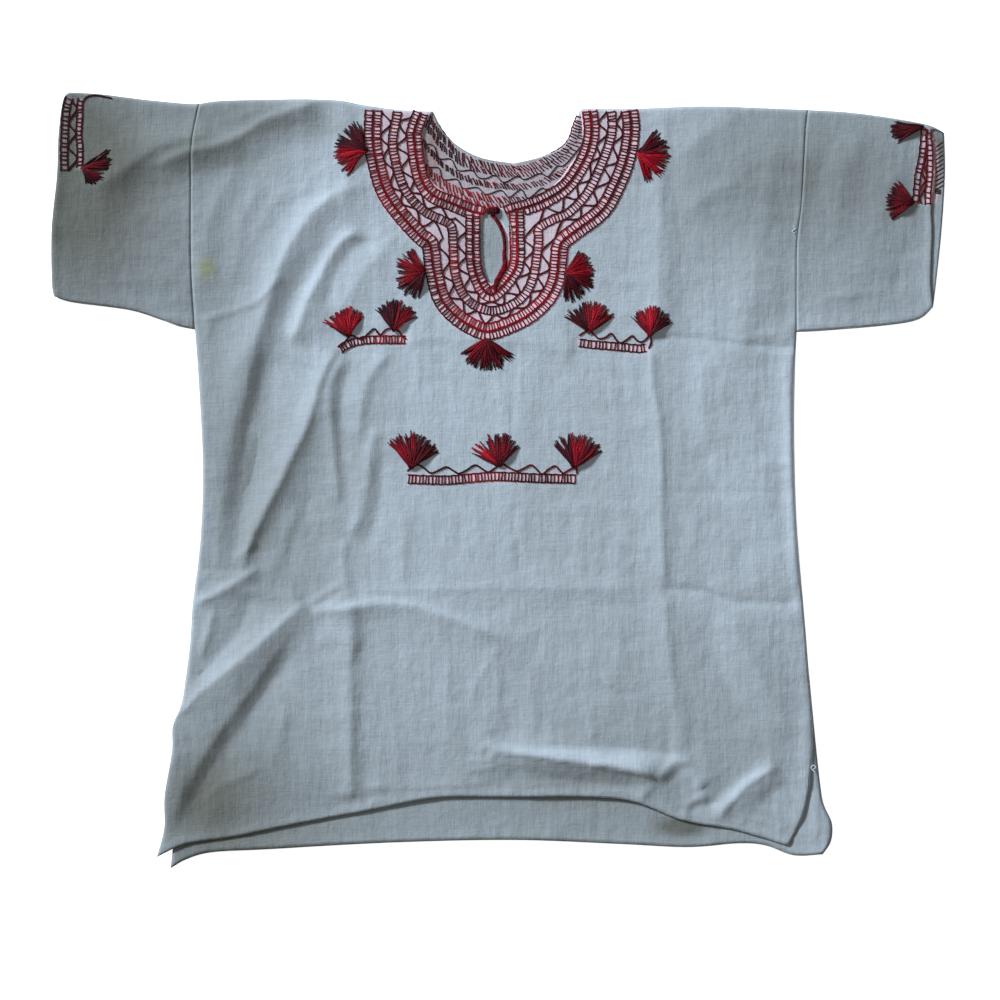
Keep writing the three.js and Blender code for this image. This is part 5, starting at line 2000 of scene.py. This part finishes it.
def back_body(wardrobe: Wardrobe, lie: Lie) -> Body:
    """The back: its halves meet from the hem to the lowest point of the neck.

    Args:
        wardrobe: the cotton and the thread.
        lie: how the panel lies.

    Returns:
        The back, ready to build.
    """
    rows = 170
    pit, collar = 118 / rows, 148 / rows
    sides, necks = (BACK_LEFT_SIDE, BACK_RIGHT_SIDE), ((BACK_NECK_LEFT,), (BACK_NECK_RIGHT,))
    spine = ((14.0, 0.0), NECK_BACK)
    left, right = two_halves(BACK_HEM, 0.52, spine, sides, necks, pit, (collar, 1.0))
    return Body("back", "body_back", wardrobe, lie, left, right, 72, rows, 0.6)


@dataclass
class Sleeve:
    """A sleeve laid flat: one cloth folded along its top, with a seam along its underside.

    Its section runs over the upper layer from the seam to the fold and back under the lower layer,
    and z follows the layer that it is on.
    """

    name: str
    node: str
    wardrobe: Wardrobe
    lie: Lie
    armhole: Line
    cuff: Line
    under_cuff: Line
    seam: Line
    fold: Line
    flips: bool
    columns: int = 46
    rows: int = 66

    def build(self, marks: Marks) -> Piece:
        """Makes the sleeve as a thin tube, open at the cuff and at the armhole.

        Near the fold and the seam the two layers meet on a round section, the square root of
        1 - (1 - d / TUBE_ROUND)^2 at a distance d.

        Args:
            marks: painted shade, stain and dye on the cloth.

        Returns:
            The piece.
        """
        upper = self.layer(self.cuff)
        under = self.layer(self.under_cuff)
        flat = upper.reshape(-1, 2)
        height = self.lie.top(flat).reshape(upper.shape[:2])
        share = even(self.rows + 1)[:, None]
        away = np.minimum(share, 1.0 - share) * self.armhole.length
        meet = np.sqrt(np.clip(1.0 - (1.0 - away / TUBE_ROUND) ** 2, 0.0, 1.0))
        meet = np.where(away >= TUBE_ROUND, 1.0, meet)
        waist = (SEAT + CLOTH + WEAVE) / 2.0
        top_z = waist + (height - waist) * meet
        low_z = waist + (WEAVE - waist) * meet
        ring = np.concatenate([upper, under[::-1][1:-1]], 0)
        z = np.concatenate([top_z, np.broadcast_to(low_z, upper.shape[:2])[::-1][1:-1]], 0)
        points = np.dstack([ring, z]).reshape(-1, 3)
        around, along = z.shape
        number = np.arange(around * along).reshape(around, along)
        number = np.vstack([number, number[:1]])
        low, high = number[:-1], number[1:]
        faces = np.stack([low[:, :-1], low[:, 1:], high[:, 1:], high[:, :-1]], -1).reshape(-1, 4)
        if self.flips:
            faces = faces[:, ::-1]
        numbers = marks.numbers(points)
        piece = dress(self.name, points, faces.tolist(), Slot.COTTON, self.wardrobe, self.node, numbers)
        return thicken(piece, WEAVE)

    def layer(self, cuff: Line) -> Array:
        """The grid of one layer, from the seam up to the fold and from the armhole out to the cuff.

        Args:
            cuff: the layer's own edge at the cuff.

        Returns:
            The grid's points.
        """
        return coons(
            Chain((self.armhole,), (1.0,)), Chain((cuff,), (1.0,)),
            Stretch(self.seam), Stretch(self.fold), self.columns, self.rows,
        )


# ---- Stage ----


@dataclass(frozen=True)
class Studio:
    """A plain pale floor, soft light from the upper left, and the camera straight above."""

    centre: Point = (1.66, -18.5)
    view_width: float = 950.0
    cloth_height: float = 4.0
    distance: float = 2.3  # in metres, as is the next
    floor_size: float = 6.0
    floor_height: float = -0.4
    key_height: float = 26.0  # degrees over the floor
    key_from: float = 143.0  # degrees round from +X
    key_power: float = 5.3
    key_width: float = 12.0  # degrees of sky that it fills
    key_colour: tuple[float, float, float] = (0.86, 0.95, 1.07)
    sky_colour: Colour = (1.0, 1.0, 0.93, 1.0)
    sky_power: float = 0.13

    def build(self) -> None:
        """Makes the floor, the lights and the camera."""
        self.floor()
        self.sun()
        self.overhead()
        self.sky()
        self.camera()
        bpy.context.scene.view_settings.view_transform = "Standard"

    def sun(self) -> None:
        """The key light: low, from the upper left, as from a window."""
        data = bpy.data.lights.new("window", "SUN")
        data.energy, data.angle, data.color = self.key_power, math.radians(self.key_width), self.key_colour
        lamp = bpy.data.objects.new("window", data)
        bpy.context.scene.collection.objects.link(lamp)
        lamp.location = (-1.0, 0.8, 1.0)
        lamp.rotation_euler = (math.radians(90.0 - self.key_height), 0.0, math.radians(self.key_from + 90.0))

    def floor(self) -> None:
        """A flat floor just under the blouse."""
        half = self.floor_size / 2
        mesh = bpy.data.meshes.new("floor")
        depth = self.floor_height * MM
        plan = ((-half, -half), (half, -half), (half, half), (-half, half))
        mesh.from_pydata([(x, y, depth) for x, y in plan], [], [(0, 1, 2, 3)])
        n = Nodes.new("pale_floor")
        shader = n.add("BsdfPrincipled", {"Base Color": (0.86, 0.86, 0.86, 1.0), "Roughness": 0.9})
        shader.inputs["Specular IOR Level"].default_value = 0.1
        shader.inputs["Emission Color"].default_value = (1.0, 1.0, 1.0, 1.0)
        shader.inputs["Emission Strength"].default_value = 0.8
        mesh.materials.append(n.finish(shader))
        floor = bpy.data.objects.new("floor", mesh)
        bpy.context.scene.collection.objects.link(floor)

    def overhead(self) -> None:
        """A faint square lamp that faces the middle of the blouse."""
        data = bpy.data.lights.new("overhead", "AREA")
        data.shape, data.size, data.energy, data.color = "SQUARE", 0.45, 1.5, (0.93, 0.97, 1.0)
        lamp = bpy.data.objects.new("overhead", data)
        bpy.context.scene.collection.objects.link(lamp)
        x, y, z = 0.03, 0.04, 0.95
        lamp.location = (x, y, z)
        lamp.rotation_euler = (math.atan2(math.hypot(x, y), z), 0.0, math.atan2(y, x) + math.pi / 2)

    def sky(self) -> None:
        """An even, faint light from all round."""
        world = bpy.data.worlds.new("soft_room")
        world.use_nodes = True
        background = world.node_tree.nodes["Background"]
        background.inputs[0].default_value = self.sky_colour
        background.inputs[1].default_value = self.sky_power
        bpy.context.scene.world = world

    def camera(self) -> None:
        """A long lens straight above, with the view's width at the cloth's height."""
        data = bpy.data.cameras.new("camera")
        data.sensor_width = 36.0
        data.lens = data.sensor_width * (self.distance - self.cloth_height * MM) / (self.view_width * MM)
        camera = bpy.data.objects.new("camera", data)
        bpy.context.scene.collection.objects.link(camera)
        camera.location = (self.centre[0] * MM, self.centre[1] * MM, self.distance)
        bpy.context.scene.camera = camera


def front_marks() -> Marks:
    """Dye on the front: over the yoke, more so in its ladders, and in the motifs' ladders.

    Returns:
        The front's marks.
    """
    neck = NECK_ROW + 0.6
    return Marks((
        Dyed(OUTER_BAND, -8.4, 62.0, 0.42), Dyed(OUTER_BAND, -8.4, 8.4, 0.85),
        Dyed(MIDDLE_BAND, -4.6, 4.6, 0.8), Dyed(NECKLINE_LEFT, -neck, neck + 2.0, 0.85),
        Dyed(NECKLINE_RIGHT, -neck, neck + 2.0, 0.85), Dyed(KEYHOLE_BAND, -7.4, 7.4, 0.85),
        Dyed(CHEST_LEFT.bottom, -0.5, 8.0, 0.75), Dyed(CHEST_RIGHT.bottom, -0.5, 8.0, 0.75),
        Dyed(BELLY.bottom, -0.5, 8.5, 0.8),
    ))


def back_marks() -> Marks:
    """Dye on the back: a faint strip under its yoke, with painted shade over the whole back and painted
    shadow in patches at its neck and hem.
    """
    return Marks((Dyed(BackNeckBand.edge, -46.0, -1.0, 0.3),), 0.15, BACK_SHADE_PATCHES)


def sleeve_left_cloth(wardrobe: Wardrobe, lie: Lie) -> Piece:
    """Makes the left sleeve, with dye in its cuff's ladders.

    Args:
        wardrobe: the cotton and the thread.
        lie: how the sleeve's upper layer lies.

    Returns:
        The piece.
    """
    sleeve = Sleeve(
        "sleeve_left_cloth", "sleeve_left", wardrobe, lie, LEFT_ARMHOLE, LEFT_CUFF, LEFT_CUFF,
        LEFT_SLEEVE_SEAM, LEFT_SLEEVE_TOP, True,
    )
    return sleeve.build(Marks((
        Dyed(LEFT_CUFF_OUTER, -3.4, 3.4, 0.22), Dyed(LEFT_CUFF_INNER, -2.8, 2.8, 0.35),
    )))


def sleeve_right_cloth(wardrobe: Wardrobe, lie: Lie) -> Piece:
    """Makes the right sleeve, with dye in its cuff's ladders and inside its mouth.

    Args:
        wardrobe: the cotton and the thread.
        lie: how the sleeve's upper layer lies.

    Returns:
        The piece.
    """
    sleeve = Sleeve(
        "sleeve_right_cloth", "sleeve_right", wardrobe, lie, RIGHT_ARMHOLE, RIGHT_CUFF, RIGHT_CUFF_UNDER,
        RIGHT_SLEEVE_SEAM, RIGHT_SLEEVE_TOP, False,
    )
    return sleeve.build(Marks((
        Dyed(RIGHT_CUFF_INNER, -3.0, 3.0, 0.5), Dyed(RIGHT_CUFF_OUTER, -3.0, 3.0, 0.8),
        Dyed(RIGHT_CUFF_EDGE, -4.0, 4.0, 0.7),
    )))


def main() -> None:
    """Builds the blouse's pieces in order, then the stage."""
    logging.basicConfig(level=logging.INFO, format="%(message)s")
    wardrobe = Wardrobe()
    lie, under = upper_lie(), back_lie()
    on_front = [NeckBand(wardrobe, lie).build()]
    log.info("neck band: %d faces", len(on_front[0].data.polygons))
    motifs = enumerate((CHEST_LEFT, CHEST_RIGHT, BELLY), SEED + 20)
    on_front += [motif.build(wardrobe, lie, seed) for seed, motif in motifs]
    on_front += [tuft.build(wardrobe, lie, seed) for seed, tuft in enumerate(TUFTS_ON_FRONT, SEED + 40)]
    on_front += KeyholeEdge(wardrobe, lie).build()
    log.info("front's thread work: %d faces", sum(len(piece.data.polygons) for piece in on_front))
    on_back = BackNeckBand(wardrobe, under).build()
    log.info("back's thread work: %d faces", sum(len(piece.data.polygons) for piece in on_back))
    loop, ends, strokes = LooseThreads(wardrobe, lie).build()
    on_front.append(ends)
    on_left = [LEFT_CUFF_BAND.build(wardrobe, lie, SEED + 60), loop]
    on_left.append(TUFT_ON_LEFT_SLEEVE.build(wardrobe, lie, SEED + 70))
    on_right = [RIGHT_CUFF_BAND.build(wardrobe, lie, SEED + 61), strokes]
    on_right += [
        tuft.build(wardrobe, lie, seed) for seed, tuft in enumerate(TUFTS_ON_RIGHT_SLEEVE, SEED + 71)
    ]
    log.info("cuffs' thread work: %d faces", sum(len(piece.data.polygons) for piece in on_left + on_right))
    front = front_body(wardrobe, lie).build(front_marks())
    log.info("front: %d squares", len(front.data.polygons))
    back = back_body(wardrobe, under).build(back_marks())
    log.info("back: %d squares", len(back.data.polygons))
    sleeve_left = sleeve_left_cloth(wardrobe, lie)
    sleeve_right = sleeve_right_cloth(wardrobe, lie)
    log.info("sleeves: %d squares", len(sleeve_left.data.polygons) + len(sleeve_right.data.polygons))
    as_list(on_front)
    list(on_back)
    Studio().build()


if __name__ == "__main__":
    main()
